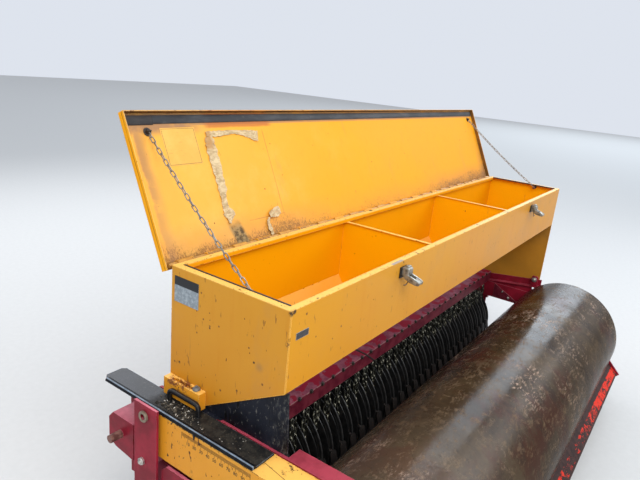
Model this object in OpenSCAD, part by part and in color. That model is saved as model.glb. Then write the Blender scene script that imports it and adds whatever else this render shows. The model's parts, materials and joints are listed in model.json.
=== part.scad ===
// Grass overseeder: hopper over a row of hung double discs, smooth roller behind, three-point hitch.
// X runs across the machine, +Y is forward to the tractor, Z is up from the ground, in millimetres.
// Names ending in _y are distances forward of the hopper's rear wall.

/* [Hopper] */
// Room between the outer rows and the hopper's ends
side_room = 87; // [80:0.5:110]
// Depth of the hopper from rear wall to front wall
hop_d = 429; // [400:1:480]
// Height of the rim above the ground
rim_z = 1187; // [1160:1:1240]
// Height of the upright part of the rear wall
wall_h = 230; // [200:1:240]
// Height of the upright part of the front wall
front_h = 246; // [220:1:260]
// Rear edge of the seed outlet
outlet_y = 279; // [260:1:290]
// Height of the seed outlet
outlet_z = 798; // [780:1:810]
// Width of the seed outlet
outlet_w = 48; // [30:1:60]
// Thickness of the walls and floor
sheet = 4; // [3:0.5:6]
// Thickness of the end plates
end_t = 5; // [4:0.5:8]
// Thickness of the partitions
partition_t = 3; // [2:0.5:5]
// How far the partitions stay below the rim
partition_drop = 14; // [8:1:30]
// Width of the folded rim
rim_w = 20; // [15:1:26]

/* [Lid] */
// Angle of the lid when it hangs open on its chains
lid_open = 115; // [100:1:120]
// Thickness of the lid sheet
lid_t = 3; // [2:0.5:5]
// Height of the closed lid over the rim
lid_gap = 12; // [10:1:20]
// Depth of the lid's edge flanges
lid_flange = 24; // [22:1:36]
// Clearance between the flanges and the hopper
lid_side = 6; // [5:1:10]
// Radius of the hinge rod
hinge_r = 6; // [4:0.5:7]
// Outer radius of the hinge knuckles
knuckle_r = 10; // [9:0.5:12]
// Length of a hinge knuckle
knuckle_l = 60; // [40:1:90]
// Distance of the hinge rod in front of the hopper
hinge_out = 16; // [14:1:20]
// Depth of the hinge rod below the rim
hinge_drop = 8; // [6:1:12]
// Thickness of the rubber seal
seal_t = 6; // [4:0.5:7]
// Width of the rubber seal
seal_w = 32; // [20:1:36]

/* [Rows] */
// Number of seed rows
rows = 33; // [29:2:33]
// Distance between rows
pitch = 75; // [70:1:76]
// Radius of a disc
disc_r = 232; // [220:1:236]
// Thickness of a disc
disc_t = 4; // [3:0.5:6]
// Gap between the two discs of a pair at their middle
disc_gap = 26; // [26:0.5:30]
// Toe-in angle of each disc
disc_toe = 1.8; // [1:0.1:2]
// Height of the lowest disc edge above the ground
disc_lift = 8; // [6:1:20]
// Disc centre forward of the rear wall
disc_y = 478; // [470:1:490]
// Radius of a disc hub
hub_r = 30; // [24:1:34]
// Thickness of an element arm
arm_t = 8; // [6:0.5:9]
// Height of an element arm
arm_h = 46; // [36:1:54]
// Radius of the pivot bar
pivot_r = 20; // [16:1:22]
// Pivot bar forward of the rear wall
pivot_y = 800; // [790:1:830]
// Height of the pivot bar
pivot_z = 400; // [390:1:410]
// Rear end of an element arm
tail_y = 205; // [195:1:225]
// Height of the rear end of an element arm
tail_z = 150; // [130:1:170]
// Width across a chain link
link_w = 11; // [9:0.5:11]
// Thickness of a chain link
link_t = 6; // [4:0.5:7]
// Outer radius of a seed tube
tube_r = 11; // [8:0.5:11]

/* [Frame] */
// Height and depth of the square tool beam
beam_w = 100; // [90:1:110]
// Rear face of the tool beam
beam_y = 500; // [495:1:510]
// Wall of the tool beam and the side arms
tube_wall = 6; // [4:0.5:10]
// Width of a side arm
arm_w = 40; // [30:1:42]
// Height of a side arm
arm_box_h = 100; // [80:1:110]
// Top of the side arms
arm_top = 500; // [495:1:505]
// Rear end of the side arms
arm_rear_y = -330; // [-340:1:-310]
// Front end of the side arms
arm_front_y = 612; // [605:1:620]
// Chain beam's fold line forward of the rear wall
fold_y = 313; // [305:1:320]
// Height of the chain beam's flange
fold_z = 563; // [555:1:570]
// Depth of the chain beam's flange
fold_d = 120; // [110:1:125]
// Thickness of the chain beam
fold_t = 5; // [4:0.5:8]
// Thickness of gussets and hangers
gusset_t = 8; // [5:0.5:8]
// How far the bearing plates reach below the roller's axis
bearing_drop = 78; // [70:1:90]

/* [Hitch] */
// Distance between the middles of the two lower link pins
link_span = 825; // [780:1:840]
// Radius of the lower link pins
link_pin_r = 14; // [11:0.5:18]
// Length of the lower link pins
link_pin_l = 90; // [70:1:110]
// Lower link pins forward of the rear wall
link_y = 900; // [885:1:930]
// Height of the lower link pins
link_z = 525; // [515:1:560]
// Height of the top link above the lower links
mast_h = 600; // [560:1:610]
// Gap between the top link ears
top_gap = 52; // [48:1:60]
// Radius of the top link hole
top_pin_r = 12.7; // [10:0.1:16]
// Thickness of the hitch plates
hitch_t = 15; // [12:1:20]
// Radius of the rounded ears round the hitch holes
ear_r = 28; // [24:1:32]
// Radius of the headstock braces
brace_r = 16; // [12:1:20]

/* [Roller] */
// Radius of the roller
roller_r = 313; // [290:1:315]
// How far each end of the roller stays inside the hopper's end
roller_inset = 52; // [52:0.5:100]
// Roller axis behind the rear wall
roller_back = 200; // [190:1:210]
// Wall of the roller drum
drum_t = 12; // [8:1:20]
// Radius of the roller's stub shafts
shaft_r = 30; // [20:1:32]
// Depth of the recess at the drum ends
drum_recess = 25; // [15:1:40]
// Height of the scraper blade along its slope
scraper_h = 78; // [60:1:90]
// Radius of the drive's chain case
case_r = 85; // [75:1:95]
// Thickness of the scraper blade
scraper_t = 8; // [6:1:12]
// Slope of the scraper blade
scraper_a = 43; // [38:1:48]
// Gap between scraper and roller
scraper_gap = 6; // [5:0.5:10]

/* [Left side] */
// Height of the top of the side plate
rail_top = 782; // [778:1:786]
// Thickness of the side plate
rail_t = 8; // [6:1:16]
// Height of the top of the drive cover
cover_top = 777; // [770:1:780]
// Height of the drive cover
cover_h = 140; // [120:1:150]
// Outer face of the drive cover beyond the hopper end
cover_out = 95; // [85:1:95]
// Front end of the drive cover
cover_front = 470; // [460:1:472]
// Width of the rate slider
slider_w = 71; // [60:1:72]
// Thickness of the rate slider
slider_t = 6; // [4:0.5:8]
// Rear end of the rate slider
slider_rear = 10; // [0:1:20]
// Front end of the rate slider
slider_front = 637; // [620:1:640]
// Length of the slider's handle
handle_l = 136; // [120:1:152]
// Rear end of the slider's handle
handle_y = 262; // [250:1:280]
// Length of the adjuster box
adjuster_l = 149; // [130:1:160]
// Rear end of the adjuster box
adjuster_y = 277; // [260:1:290]
// Width of the adjuster box
adjuster_w = 27; // [24:1:36]
// Height of the adjuster box
adjuster_h = 55; // [45:1:60]
// Thickness of the drive cover sheet
cover_t = 4; // [3:0.5:6]

/* [Stands] */
// Width of a stand bar
stand_w = 98; // [80:1:98]
// Thickness of a stand bar
stand_t = 8; // [6:1:12]
// Gap between the drive cover and a stand
stand_gap = 12; // [8:1:16]
// Rear edge of the stand bars
stand_y = 350; // [348:1:354]
// Top of the stand bars
stand_top = 799; // [785:1:805]
// How far a stand can be raised
stand_travel = 300; // [200:1:320]
// Height of a stand's guide
guide_h = 100; // [80:1:105]
// Height of the top of the stand carriers
carrier_top = 520; // [515:1:530]
// Height of the bracket pins
bracket_pin_z = 632; // [620:1:640]

/* [Hidden] */
$fn = 48;
eps = 0.01;
seat = 0.3;
clear = 5;
round_fn = 24;

hop_l = rows * pitch + 2 * side_room;
half = hop_l / 2;
inner = half - end_t;
bend_z = rim_z - wall_h;
kink_z = rim_z - front_h;
floor_a = atan2(bend_z - outlet_z, outlet_y);
outlet_front = outlet_y + outlet_w;
front_a = atan2(kink_z - outlet_z, hop_d - outlet_front);
hinge_y = hop_d + hinge_out;
hinge_z = rim_z - hinge_drop;
roller_l = hop_l - 2 * roller_inset;
roller_y = -roller_back;
disc_z = disc_r + disc_lift;
row_mid = (rows - 1) / 2;
arm_outer = half - sheet;
arm_in = arm_outer - arm_w;
arm_low = arm_top - arm_box_h;
beam_top = arm_top + beam_w;
beam_front = beam_y + beam_w;
plate_out = arm_outer + rail_t;
cover_face = half + cover_out;
cover_low = cover_top - cover_h;
stand_in = cover_face + stand_gap;
stand_front = stand_y + stand_w;
link_in = link_span / 2 - link_pin_l / 2;
top_z = link_z + mast_h;
scraper_top_r = roller_r + scraper_gap;
blade_low_a = 20;
blade_y = roller_y - scraper_top_r * cos(blade_low_a);
blade_z = roller_r - scraper_top_r * sin(blade_low_a);
blade_rear_y = blade_y - 0.9 * scraper_h;
front_reach = link_y + 1.45 * ear_r;
rear_reach = -blade_rear_y;
wall_y = -(front_reach - rear_reach) / 2;

// Moves a piece from the hopper's rear wall to the middle of the machine's length
module at_wall() { translate([0, wall_y, 0]) children(); }

// Extrudes a side view, given as points of [forward, up], from x0 to x1
module side_view(x0, x1) {
  translate([x0, 0, 0]) rotate([90, 0, 90]) linear_extrude(x1 - x0) children();
}

// Round bar along X
module bar_x(r, x0, x1, y, z, n = 48) {
  translate([x0, y, z]) rotate([0, 90, 0]) cylinder(r = r, h = x1 - x0, $fn = n);
}

// Box given by its two corners
module span(a, b) { translate(a) cube(b - a); }

// Round bar between two points
module rod_between(a, b, r) {
  d = b - a;
  translate(a) rotate([0, acos(d[2] / norm(d)), atan2(d[1], d[0])])
    cylinder(r = r, h = norm(d));
}

// Left and right copies of a piece drawn on the right
module both() { children(); mirror([1, 0, 0]) children(); }

// Height of the hopper floor's underside
function floor_z(y) = bend_z - tan(floor_a) * y;
// Height of the front slope's underside
function slope_z(y) = outlet_z + tan(front_a) * (y - outlet_front);
function row_x(k) = (k - row_mid) * pitch;

bearing_half = 0.9 * bearing_drop;
bore_r = shaft_r + clear;
module side_arm() {
  difference() {
    span([arm_in, arm_rear_y, arm_low], [arm_outer, arm_front_y, arm_top]);
    span([arm_in + tube_wall, arm_rear_y - eps, arm_low + tube_wall],
         [arm_outer - tube_wall, arm_front_y + eps, arm_top - tube_wall]);
  }
  difference() {
    side_view(arm_in, arm_in + hitch_t) polygon([
      [roller_y - bearing_half - hitch_t, arm_low], [roller_y - bearing_half, roller_r],
      [roller_y - bearing_half / 2, roller_r - bearing_drop],
      [roller_y + bearing_half / 2, roller_r - bearing_drop],
      [roller_y + bearing_half, roller_r], [roller_y + bearing_half + hitch_t, arm_low]]);
    bar_x(bore_r, arm_in - 1, arm_in + hitch_t + 1, roller_y, roller_r);
  }
}
module side_arm_left() color([0.45, 0.07, 0.12]) at_wall() mirror([1, 0, 0]) side_arm();
module side_arm_right() color([0.45, 0.07, 0.12]) at_wall() side_arm();

module tool_beam() color([0.45, 0.07, 0.12]) at_wall() difference() {
  span([-arm_outer, beam_y, arm_top], [arm_outer, beam_front, beam_top]);
  span([-arm_outer - eps, beam_y + tube_wall, arm_top + tube_wall],
       [arm_outer + eps, beam_front - tube_wall, beam_top - tube_wall]);
}

chain_beam_half = inner - clear;
module chain_beam() color([0.5, 0.08, 0.14]) at_wall() side_view(-chain_beam_half, chain_beam_half)
  polygon([[fold_y, arm_top], [fold_y, fold_z], [fold_y + fold_d, fold_z],
    [fold_y + fold_d, fold_z - fold_t], [fold_y + fold_t, fold_z - fold_t],
    [fold_y + fold_t, arm_top]]);

// Rows, counted from the middle one, between which plates of the frame can stand
outer_slot = rows / 2;
wide_slot = ceil(rows / 4) - 0.5;
bracket_x = [-outer_slot + 1, -wide_slot, -0.5, wide_slot, outer_slot - 1];
web_low = fold_z - fold_t - 0.55 * (fold_z - arm_top);
module beam_brackets() color([0.45, 0.07, 0.12]) at_wall() for (k = bracket_x)
  side_view(k * pitch - gusset_t / 2, k * pitch + gusset_t / 2) polygon([
    [fold_y + fold_t, fold_z - fold_t], [fold_y + fold_t, web_low],
    [beam_y, arm_top + 0.1 * beam_w], [beam_y, beam_top - 0.12 * beam_w],
    [fold_y + fold_d, beam_top - 0.12 * beam_w], [fold_y + fold_d, fold_z - fold_t]]);

mast_back = link_y - 2.2 * ear_r;
module mast_plate() side_view(top_gap / 2, top_gap / 2 + hitch_t) difference() {
  polygon([[beam_y, beam_top], [beam_front, beam_top],
    [link_y - 0.7 * ear_r, top_z - 1.6 * ear_r], [link_y + ear_r, top_z - 0.9 * ear_r],
    [link_y + ear_r, top_z + 0.9 * ear_r], [link_y - ear_r, top_z + ear_r],
    [mast_back, top_z]]);
  translate([link_y, top_z]) circle(r = top_pin_r);
}
module headstock_mast() color([0.45, 0.07, 0.12]) at_wall() {
  both() mast_plate();
  span([-top_gap / 2, beam_y + 0.4 * beam_w, beam_top + 0.6 * beam_w],
       [top_gap / 2, beam_y + 0.4 * beam_w + hitch_t, beam_top + 1.8 * beam_w]);
}

brace_foot = [link_in - hitch_t - brace_r, link_y - 2.5 * brace_r, link_z + 2.5 * brace_r];
brace_head = [top_gap / 2 + hitch_t + brace_r, link_y - 2.5 * brace_r, top_z - 3.2 * ear_r];
module headstock_braces() color([0.45, 0.07, 0.12]) at_wall() both() {
  rod_between(brace_foot, brace_head, brace_r);
  span(brace_foot - [1.2 * brace_r, 1.4 * brace_r, 0.75 * brace_r],
       [link_in - hitch_t, brace_foot[1] + 1.4 * brace_r, brace_foot[2] + 0.75 * brace_r]);
  span([top_gap / 2 + hitch_t, brace_head[1] - 1.4 * brace_r, brace_head[2] - 1.2 * brace_r],
       brace_head + [1.2 * brace_r, 1.4 * brace_r, 0.7 * brace_r]);
}

module lower_link_plates() color([0.45, 0.07, 0.12]) at_wall() both()
  side_view(link_in - hitch_t, link_in) difference() {
    polygon([[beam_front, beam_top], [beam_front, arm_top],
      [beam_front + 1.2 * beam_w, link_z - 2 * ear_r], [link_y + ear_r, link_z - 1.45 * ear_r],
      [link_y + 1.45 * ear_r, link_z], [link_y + ear_r, link_z + 2 * ear_r],
      [link_y - 3 * ear_r, link_z + 2.9 * ear_r]]);
    translate([link_y, link_z]) circle(r = link_pin_r + seat);
  }

pin_back = hitch_t + 20;
collar_r = 1.65 * link_pin_r;
module lower_link_pins() color([0.55, 0.53, 0.5]) at_wall() both() {
  bar_x(link_pin_r, link_in - pin_back, link_in + link_pin_l, link_y, link_z);
  bar_x(collar_r, link_in + seat, link_in + 2 * clear, link_y, link_z);
  bar_x(collar_r, link_in - pin_back, link_in - hitch_t - seat, link_y, link_z);
}

link_slot = ceil((link_in + 2 * hitch_t) / pitch - 0.5) + 0.5;
mid_slot = floor((outer_slot + link_slot) / 2) - 0.5;
hanger_x = [-outer_slot, -mid_slot, -link_slot, -0.5, 0.5, link_slot, mid_slot, outer_slot];
module pivot_hangers() color([0.45, 0.07, 0.12]) at_wall() for (k = hanger_x)
  side_view(k * pitch - gusset_t / 2, k * pitch + gusset_t / 2) difference() {
    polygon([[beam_front, beam_top - clear], [beam_front, arm_top],
      [pivot_y - 1.7 * pivot_r, pivot_z - 1.5 * pivot_r],
      [pivot_y + 1.2 * pivot_r, pivot_z - 1.7 * pivot_r],
      [pivot_y + 1.8 * pivot_r, pivot_z], [pivot_y + 1.2 * pivot_r, pivot_z + 1.7 * pivot_r],
      [beam_front + 1.2 * beam_w, arm_top + 0.2 * beam_w]]);
    translate([pivot_y, pivot_z]) circle(r = pivot_r + seat);
  }
bar_half = outer_slot * pitch + 0.3 * side_room;
module pivot_bar() color([0.4, 0.38, 0.36]) at_wall()
  bar_x(pivot_r, -bar_half, bar_half, pivot_y, pivot_z);

arm_dy = pivot_y - disc_y;
arm_dz = pivot_z - disc_z;
tail_dy = tail_y - disc_y;
tail_dz = tail_z - disc_z;
stay_y = fold_y + fold_t / 2;
stay_pin_z = disc_z + (stay_y - disc_y) / tail_dy * tail_dz;
stay_pin_r = 5;
strand_x = arm_t / 2 + link_w / 2 + seat;
stay_pin_x = strand_x + link_w / 2;
barrel_half = pitch / 2 - gusset_t / 2 - 0.5;
module element_arm() {
  side_view(-arm_t / 2, arm_t / 2) difference() {
    union() {
      translate([disc_y, disc_z]) rotate(atan2(arm_dz, arm_dy))
        translate([0, -arm_h / 2]) square([norm([arm_dy, arm_dz]), arm_h]);
      translate([disc_y, disc_z]) rotate(atan2(tail_dz, tail_dy))
        translate([0, -arm_h / 4]) square([norm([tail_dy, tail_dz]), arm_h / 2]);
      translate([disc_y, disc_z]) circle(r = 1.5 * hub_r);
    }
    translate([disc_y, disc_z]) circle(r = hub_r + seat);
    translate([pivot_y, pivot_z]) circle(r = 1.3 * pivot_r);
  }
  difference() {
    bar_x(1.5 * pivot_r, -barrel_half, barrel_half, pivot_y, pivot_z);
    bar_x(pivot_r + seat, -pitch, pitch, pivot_y, pivot_z);
  }
  bar_x(stay_pin_r, arm_t / 2 - 1, stay_pin_x, stay_y, stay_pin_z, round_fn);
  bar_x(stay_pin_r, -stay_pin_x, 1 - arm_t / 2, stay_y, stay_pin_z, round_fn);
  translate([0, tail_y, tail_z]) rotate([20, 0, 0])
    translate([-arm_h / 2, -3, -1.4 * arm_h]) cube([arm_h, 5, 1.75 * arm_h]);
}
module element_arms() color([0.35, 0.2, 0.17]) at_wall() for (k = [0 : rows - 1])
  translate([row_x(k), 0, 0]) element_arm();

hub_half = disc_gap / 2 + 3 * disc_t;
module disc_pair() {
  for (s = [-1, 1]) translate([0, disc_y, disc_z]) rotate([0, 0, s * disc_toe])
    translate([s > 0 ? disc_gap / 2 : -disc_gap / 2 - disc_t, 0, 0])
      rotate([0, 90, 0]) cylinder(r = disc_r, h = disc_t, $fn = 72);
  bar_x(hub_r, -hub_half, hub_half, disc_y, disc_z);
}
module discs() color([0.09, 0.09, 0.1]) at_wall() for (k = [0 : rows - 1])
  translate([row_x(k), 0, 0]) disc_pair();

links = 8;
strand_bottom = stay_pin_z + stay_pin_r + seat;
strand_top = arm_top - seat;
// One strand whose section turns a quarter from link to link
module strand() {
  step = (strand_top - strand_bottom) / links;
  pts = [for (i = [0 : links])
    let (w = i % 2 == 0 ? link_w : link_t, t = i % 2 == 0 ? link_t : link_w)
    for (c = [[-1, -1], [1, -1], [1, 1], [-1, 1]]) [c[0] * w / 2, c[1] * t / 2, i * step]];
  sides = [for (i = [0 : links - 1], j = [0 : 3])
    [4 * i + j, 4 * i + 4 + j, 4 * i + 4 + (j + 1) % 4, 4 * i + (j + 1) % 4]];
  translate([0, stay_y, strand_bottom])
    polyhedron(points = pts, faces = concat([[0, 1, 2, 3]],
      [[4 * links + 3, 4 * links + 2, 4 * links + 1, 4 * links]], sides));
}
module element_chains() color([0.2, 0.18, 0.15]) at_wall() for (k = [0 : rows - 1], s = [-1, 1])
  translate([row_x(k) + s * strand_x, 0, 0]) strand();

meter_out = 30;
meter_rear = outlet_y - meter_out;
meter_front = outlet_front + meter_out;
meter_z = outlet_z - 83;
meter_t = 8;
module metering_housing() color([0.5, 0.08, 0.14]) at_wall()
  side_view(-inner + 4 * clear, inner - 4 * clear)
    polygon([[meter_rear, floor_z(meter_rear) - seat], [meter_rear, meter_z],
      [meter_front, meter_z], [meter_front, slope_z(meter_front) - seat],
      [outlet_front, outlet_z - seat], [outlet_front, meter_z + meter_t],
      [outlet_y, meter_z + meter_t], [outlet_y, outlet_z - seat]]);

tube_y = (fold_y + fold_d + beam_y) / 2;
tube_top = [0, outlet_y + outlet_w / 2, meter_z - seat];
tube_neck = [0, outlet_y + outlet_w / 2, meter_z - 2.5 * tube_r];
tube_bend = [0, tube_y, beam_top + 0.4 * beam_w];
tube_knee = [0, tube_y, arm_top];
tube_end = [0, disc_y - disc_r / 3, disc_z + 0.43 * disc_r];
module seed_tubes() color([0.12, 0.12, 0.12]) at_wall() for (k = [0 : rows - 1])
  translate([row_x(k), 0, 0]) {
    rod_between(tube_neck, tube_top, tube_r, $fn = round_fn);
    rod_between(tube_bend, tube_neck, tube_r, $fn = round_fn);
    rod_between(tube_knee, tube_bend, tube_r, $fn = round_fn);
    rod_between(tube_end, tube_knee, tube_r, $fn = round_fn);
    for (p = [tube_neck, tube_bend, tube_knee]) translate(p) sphere(r = tube_r + 0.8, $fn = round_fn);
  }

rim_low = rim_z - sheet;
module hopper_shell() color([0.9, 0.62, 0.12]) at_wall() side_view(-inner, inner) {
  polygon([[0, rim_z], [0, bend_z], [outlet_y, outlet_z],
    [outlet_y, outlet_z + sheet / cos(floor_a)],
    [sheet, floor_z(sheet) + sheet / cos(floor_a)], [sheet, rim_low],
    [rim_w, rim_low], [rim_w, rim_z]]);
  polygon([[hop_d, rim_z], [hop_d, kink_z], [outlet_front, outlet_z],
    [outlet_front, outlet_z + sheet / cos(front_a)],
    [hop_d - sheet, slope_z(hop_d - sheet) + sheet / cos(front_a)], [hop_d - sheet, rim_low],
    [hop_d - rim_w, rim_low], [hop_d - rim_w, rim_z]]);
}

end_low = outlet_z + 0.9 * outlet_w;
module hopper_end() {
  side_view(inner, half) polygon([[0, rim_z], [0, bend_z], [outlet_y, outlet_z],
    [outlet_front, outlet_z], [hop_d, end_low], [hop_d, rim_z]]);
  span([inner - rim_w, rim_w + seat, rim_low], [inner + 1, hop_d - rim_w - seat, rim_z]);
}
module hopper_end_left() color([0.88, 0.62, 0.2]) at_wall() mirror([1, 0, 0]) hopper_end();
module hopper_end_right() color([0.88, 0.62, 0.2]) at_wall() hopper_end();

partition_z = rim_z - partition_drop;
module partitions() color([0.9, 0.58, 0.1]) at_wall() for (s = [-1, 1]) {
  side_view(s * hop_l / 6 - partition_t / 2, s * hop_l / 6 + partition_t / 2)
    polygon([[sheet, partition_z], [sheet, floor_z(sheet) + sheet / cos(floor_a)],
      [outlet_y, outlet_z + sheet / cos(floor_a)], [outlet_front, outlet_z + sheet / cos(front_a)],
      [hop_d - sheet, slope_z(hop_d - sheet) + sheet / cos(front_a)],
      [hop_d - sheet, partition_z]]);
  span([s * hop_l / 6 - rim_w / 3, sheet, partition_z - partition_t],
       [s * hop_l / 6 + rim_w / 3, hop_d - sheet, partition_z]);
}

support_x = [-outer_slot + 4, -link_slot, link_slot, outer_slot - 4];
support_z = rim_z - 0.6 * wall_h;
module hopper_supports() color([0.45, 0.07, 0.12]) at_wall() for (k = support_x)
  side_view(k * pitch - gusset_t / 2, k * pitch + gusset_t / 2) polygon([
    [beam_y, beam_top], [beam_front, beam_top], [beam_y + 0.3 * beam_w, kink_z - 0.6 * beam_w],
    [hop_d + 0.3 * beam_w, support_z], [hop_d, support_z], [hop_d, kink_z]]);

knuckles = 11;
knuckle_step = (hop_l - 2 * knuckle_l) / (2 * knuckles);
function knuckle_x(i) = -half + knuckle_l + i * knuckle_step;
module hinge_rod() color([0.5, 0.42, 0.35]) at_wall()
  bar_x(hinge_r, -half, half, hinge_y, hinge_z, round_fn);
module hinge_leaves() color([0.88, 0.62, 0.2]) at_wall() for (i = [0 : knuckles])
  translate([knuckle_x(2 * i) - knuckle_l / 2, 0, 0]) difference() {
    union() {
      bar_x(knuckle_r, 0, knuckle_l, hinge_y, hinge_z, round_fn);
      span([0, hop_d, hinge_z - knuckle_r], [knuckle_l, hinge_y, hinge_z - knuckle_r / 2]);
    }
    bar_x(hinge_r + seat, -1, knuckle_l + 1, hinge_y, hinge_z, round_fn);
  }

lid_under = hinge_drop + lid_gap;
lid_reach = hinge_y + lid_side + lid_t;
lid_lip = 12;
lid_half = half + lid_side + lid_t;
// The closed lid about its hinge line
module lid_closed() {
  low = lid_under + lid_t - lid_flange;
  span([-lid_half, -lid_reach, lid_under], [lid_half, lid_lip, lid_under + lid_t]);
  span([-lid_half, -lid_reach, low], [lid_half, -lid_reach + lid_t, lid_under + lid_t]);
  both() span([lid_half - lid_t, -lid_reach, low], [lid_half, lid_lip, lid_under + lid_t]);
  for (i = [0 : knuckles - 1]) translate([knuckle_x(2 * i + 1) - knuckle_l / 2, 0, 0])
    difference() {
      union() {
        bar_x(knuckle_r, 0, knuckle_l, 0, 0, round_fn);
        span([0, -lid_t, knuckle_r - 2], [knuckle_l, lid_t, lid_under]);
      }
      bar_x(hinge_r + seat, -1, knuckle_l + 1, 0, 0, round_fn);
    }
}
module at_hinge() at_wall() translate([0, hinge_y, hinge_z]) rotate([-lid_open, 0, 0]) children();
module lid() color([0.9, 0.6, 0.12]) at_hinge() lid_closed();
module lid_seal() color([0.1, 0.1, 0.1]) at_hinge()
  span([-half, -lid_reach + lid_t + seat, lid_under - seal_t],
       [half, -lid_reach + lid_t + seal_w, lid_under - seat]);

stay_r = 5;
// Ends of a stay chain: on the lid, as [x, from the hinge, above it], and at the rim
chain_lid = [half - 0.8 * side_room, 0.92 * hop_d, lid_under - 0.94 * stay_r];
chain_rim = [inner - rim_w - 0.8 * stay_r, 0.33 * hop_d, rim_z - 3 * stay_r];
function open_point(p) = [p[0],
  hinge_y + p[1] * -cos(lid_open) + p[2] * sin(lid_open),
  hinge_z + p[1] * sin(lid_open) + p[2] * cos(lid_open)];
module stay_chains() color([0.55, 0.53, 0.5]) at_wall() both()
  rod_between(chain_rim, open_point(chain_lid), stay_r, $fn = 8);

latch_x = 0.278 * hop_l;
latch_w = 44;
latch_h = 52;
latch_z = rim_z - 0.9 * latch_h;
// Toggle latch: base plate, two cheeks, lever standing off the wall, and hook below it
module latch() {
  span([latch_x - latch_w / 2, -4, latch_z - latch_h / 2],
       [latch_x + latch_w / 2, 0, latch_z + latch_h / 2]);
  for (s = [-1, 1]) span([latch_x + s * latch_w / 3 - 2, -latch_h / 2, latch_z - latch_h / 4],
    [latch_x + s * latch_w / 3 + 2, -4, latch_z + latch_h / 3]);
  side_view(latch_x - latch_w / 5, latch_x + latch_w / 5) polygon([
    [-10, latch_z + latch_h / 2], [-22, latch_z + latch_h / 2], [-70, latch_z - 6],
    [-66, latch_z - 14], [-24, latch_z + 4], [-10, latch_z + 6]]);
  bar_x(4, latch_x - 0.45 * latch_w, latch_x + 0.45 * latch_w, -18, latch_z, round_fn);
  side_view(latch_x - 3, latch_x + 3) polygon([
    [-15, latch_z], [-21, latch_z], [-24, latch_z - 0.55 * latch_h],
    [-14, latch_z - 0.7 * latch_h], [-10, latch_z - 0.6 * latch_h], [-18, latch_z - latch_h / 2]]);
}
module latch_left() color([0.6, 0.6, 0.6]) at_wall() mirror([1, 0, 0]) latch();
module latch_right() color([0.6, 0.6, 0.6]) at_wall() latch();

plate_l = 97;
plate_h = 77;
plate_t = 1;
module blank_plates() color([0.6, 0.6, 0.62]) at_wall() {
  translate([-half - plate_t, 0.97 * hop_d - plate_l, rim_z - 1.35 * plate_h])
    cube([plate_t, plate_l, plate_h]);
  translate([-half + 0.29 * plate_l, -plate_t, rim_z - 1.14 * plate_h])
    cube([0.54 * plate_l, plate_t, plate_h / 4]);
}

flap_rear = -22;
flap_top = flap_rear + 12;
flap_front = 0.92 * hop_d;
module side_flap_left() color([0.06, 0.06, 0.07]) at_wall()
  side_view(-arm_outer + seat, -inner + sheet) polygon([
    [flap_rear, rail_top], [flap_top, floor_z(flap_top) - seat], [outlet_y, outlet_z - seat],
    [outlet_front, outlet_z - seat], [flap_front, outlet_z + 4 * clear],
    [flap_front, arm_top + clear], [flap_rear, arm_top + clear]]);

panel_a = 7.5;
panel_run = 0.79 * hop_d;
lip_t = 6;
rail_w = arm_w;
rail_rear = -15;
rail_front = fold_y - seat;
function panel_z(y) = arm_top + lip_t + tan(panel_a) * (panel_run - y);
module side_panel_right() color([0.85, 0.55, 0.1]) at_wall() side_view(inner, half)
  polygon([[0, bend_z - seat], [outlet_y, outlet_z - seat], [outlet_front, outlet_z - seat],
    [hop_d, end_low - seat], [hop_d, panel_z(panel_run)],
    [panel_run, panel_z(panel_run)], [0, panel_z(0)]]);
module side_rail_right() color([0.5, 0.08, 0.14]) at_wall() {
  side_view(inner - rail_w, inner - seat) polygon([[rail_rear, panel_z(rail_rear)],
    [rail_rear, panel_z(rail_rear) - lip_t], [rail_front, panel_z(rail_front) - lip_t],
    [rail_front, panel_z(rail_front)]]);
  side_view(inner - lip_t, inner - seat) polygon([
    [rail_rear, panel_z(rail_rear) + rail_w], [rail_rear, panel_z(rail_rear)],
    [rail_front, panel_z(rail_front)], [rail_front, panel_z(rail_front) + rail_w]]);
  side_view(inner - 0.75 * rail_w, inner - 0.75 * rail_w + lip_t) polygon([
    [-2 * rail_rear, panel_z(-2 * rail_rear) - lip_t], [-2 * rail_rear, arm_top],
    [rail_front - lip_t, arm_top], [rail_front - lip_t, panel_z(rail_front - lip_t) - lip_t]]);
}

drum_half = roller_l / 2;
module roller_drum() color([0.35, 0.27, 0.2]) at_wall() difference() {
  bar_x(roller_r, -drum_half, drum_half, roller_y, roller_r, 96);
  bar_x(roller_r - drum_t, -drum_half - 1, drum_half + 1, roller_y, roller_r, 96);
}
disc_face = drum_half - drum_recess;
module roller_ends() color([0.3, 0.22, 0.18]) at_wall() both() {
  bar_x(roller_r - drum_t - seat, disc_face - drum_t, disc_face, roller_y, roller_r, 96);
  bar_x(1.8 * shaft_r, disc_face - eps, disc_face + hitch_t, roller_y, roller_r);
  bar_x(shaft_r, disc_face - eps, arm_outer - 1, roller_y, roller_r);
}
bearing_in = arm_in + hitch_t;
module roller_bearings() color([0.2, 0.2, 0.2]) at_wall() both() difference() {
  union() {
    bar_x(2.1 * shaft_r, bearing_in, bearing_in + 0.33 * shaft_r, roller_y, roller_r);
    bar_x(1.6 * shaft_r, bearing_in, arm_outer - 3, roller_y, roller_r);
  }
  bar_x(shaft_r + seat, arm_in, arm_outer, roller_y, roller_r);
}

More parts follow.
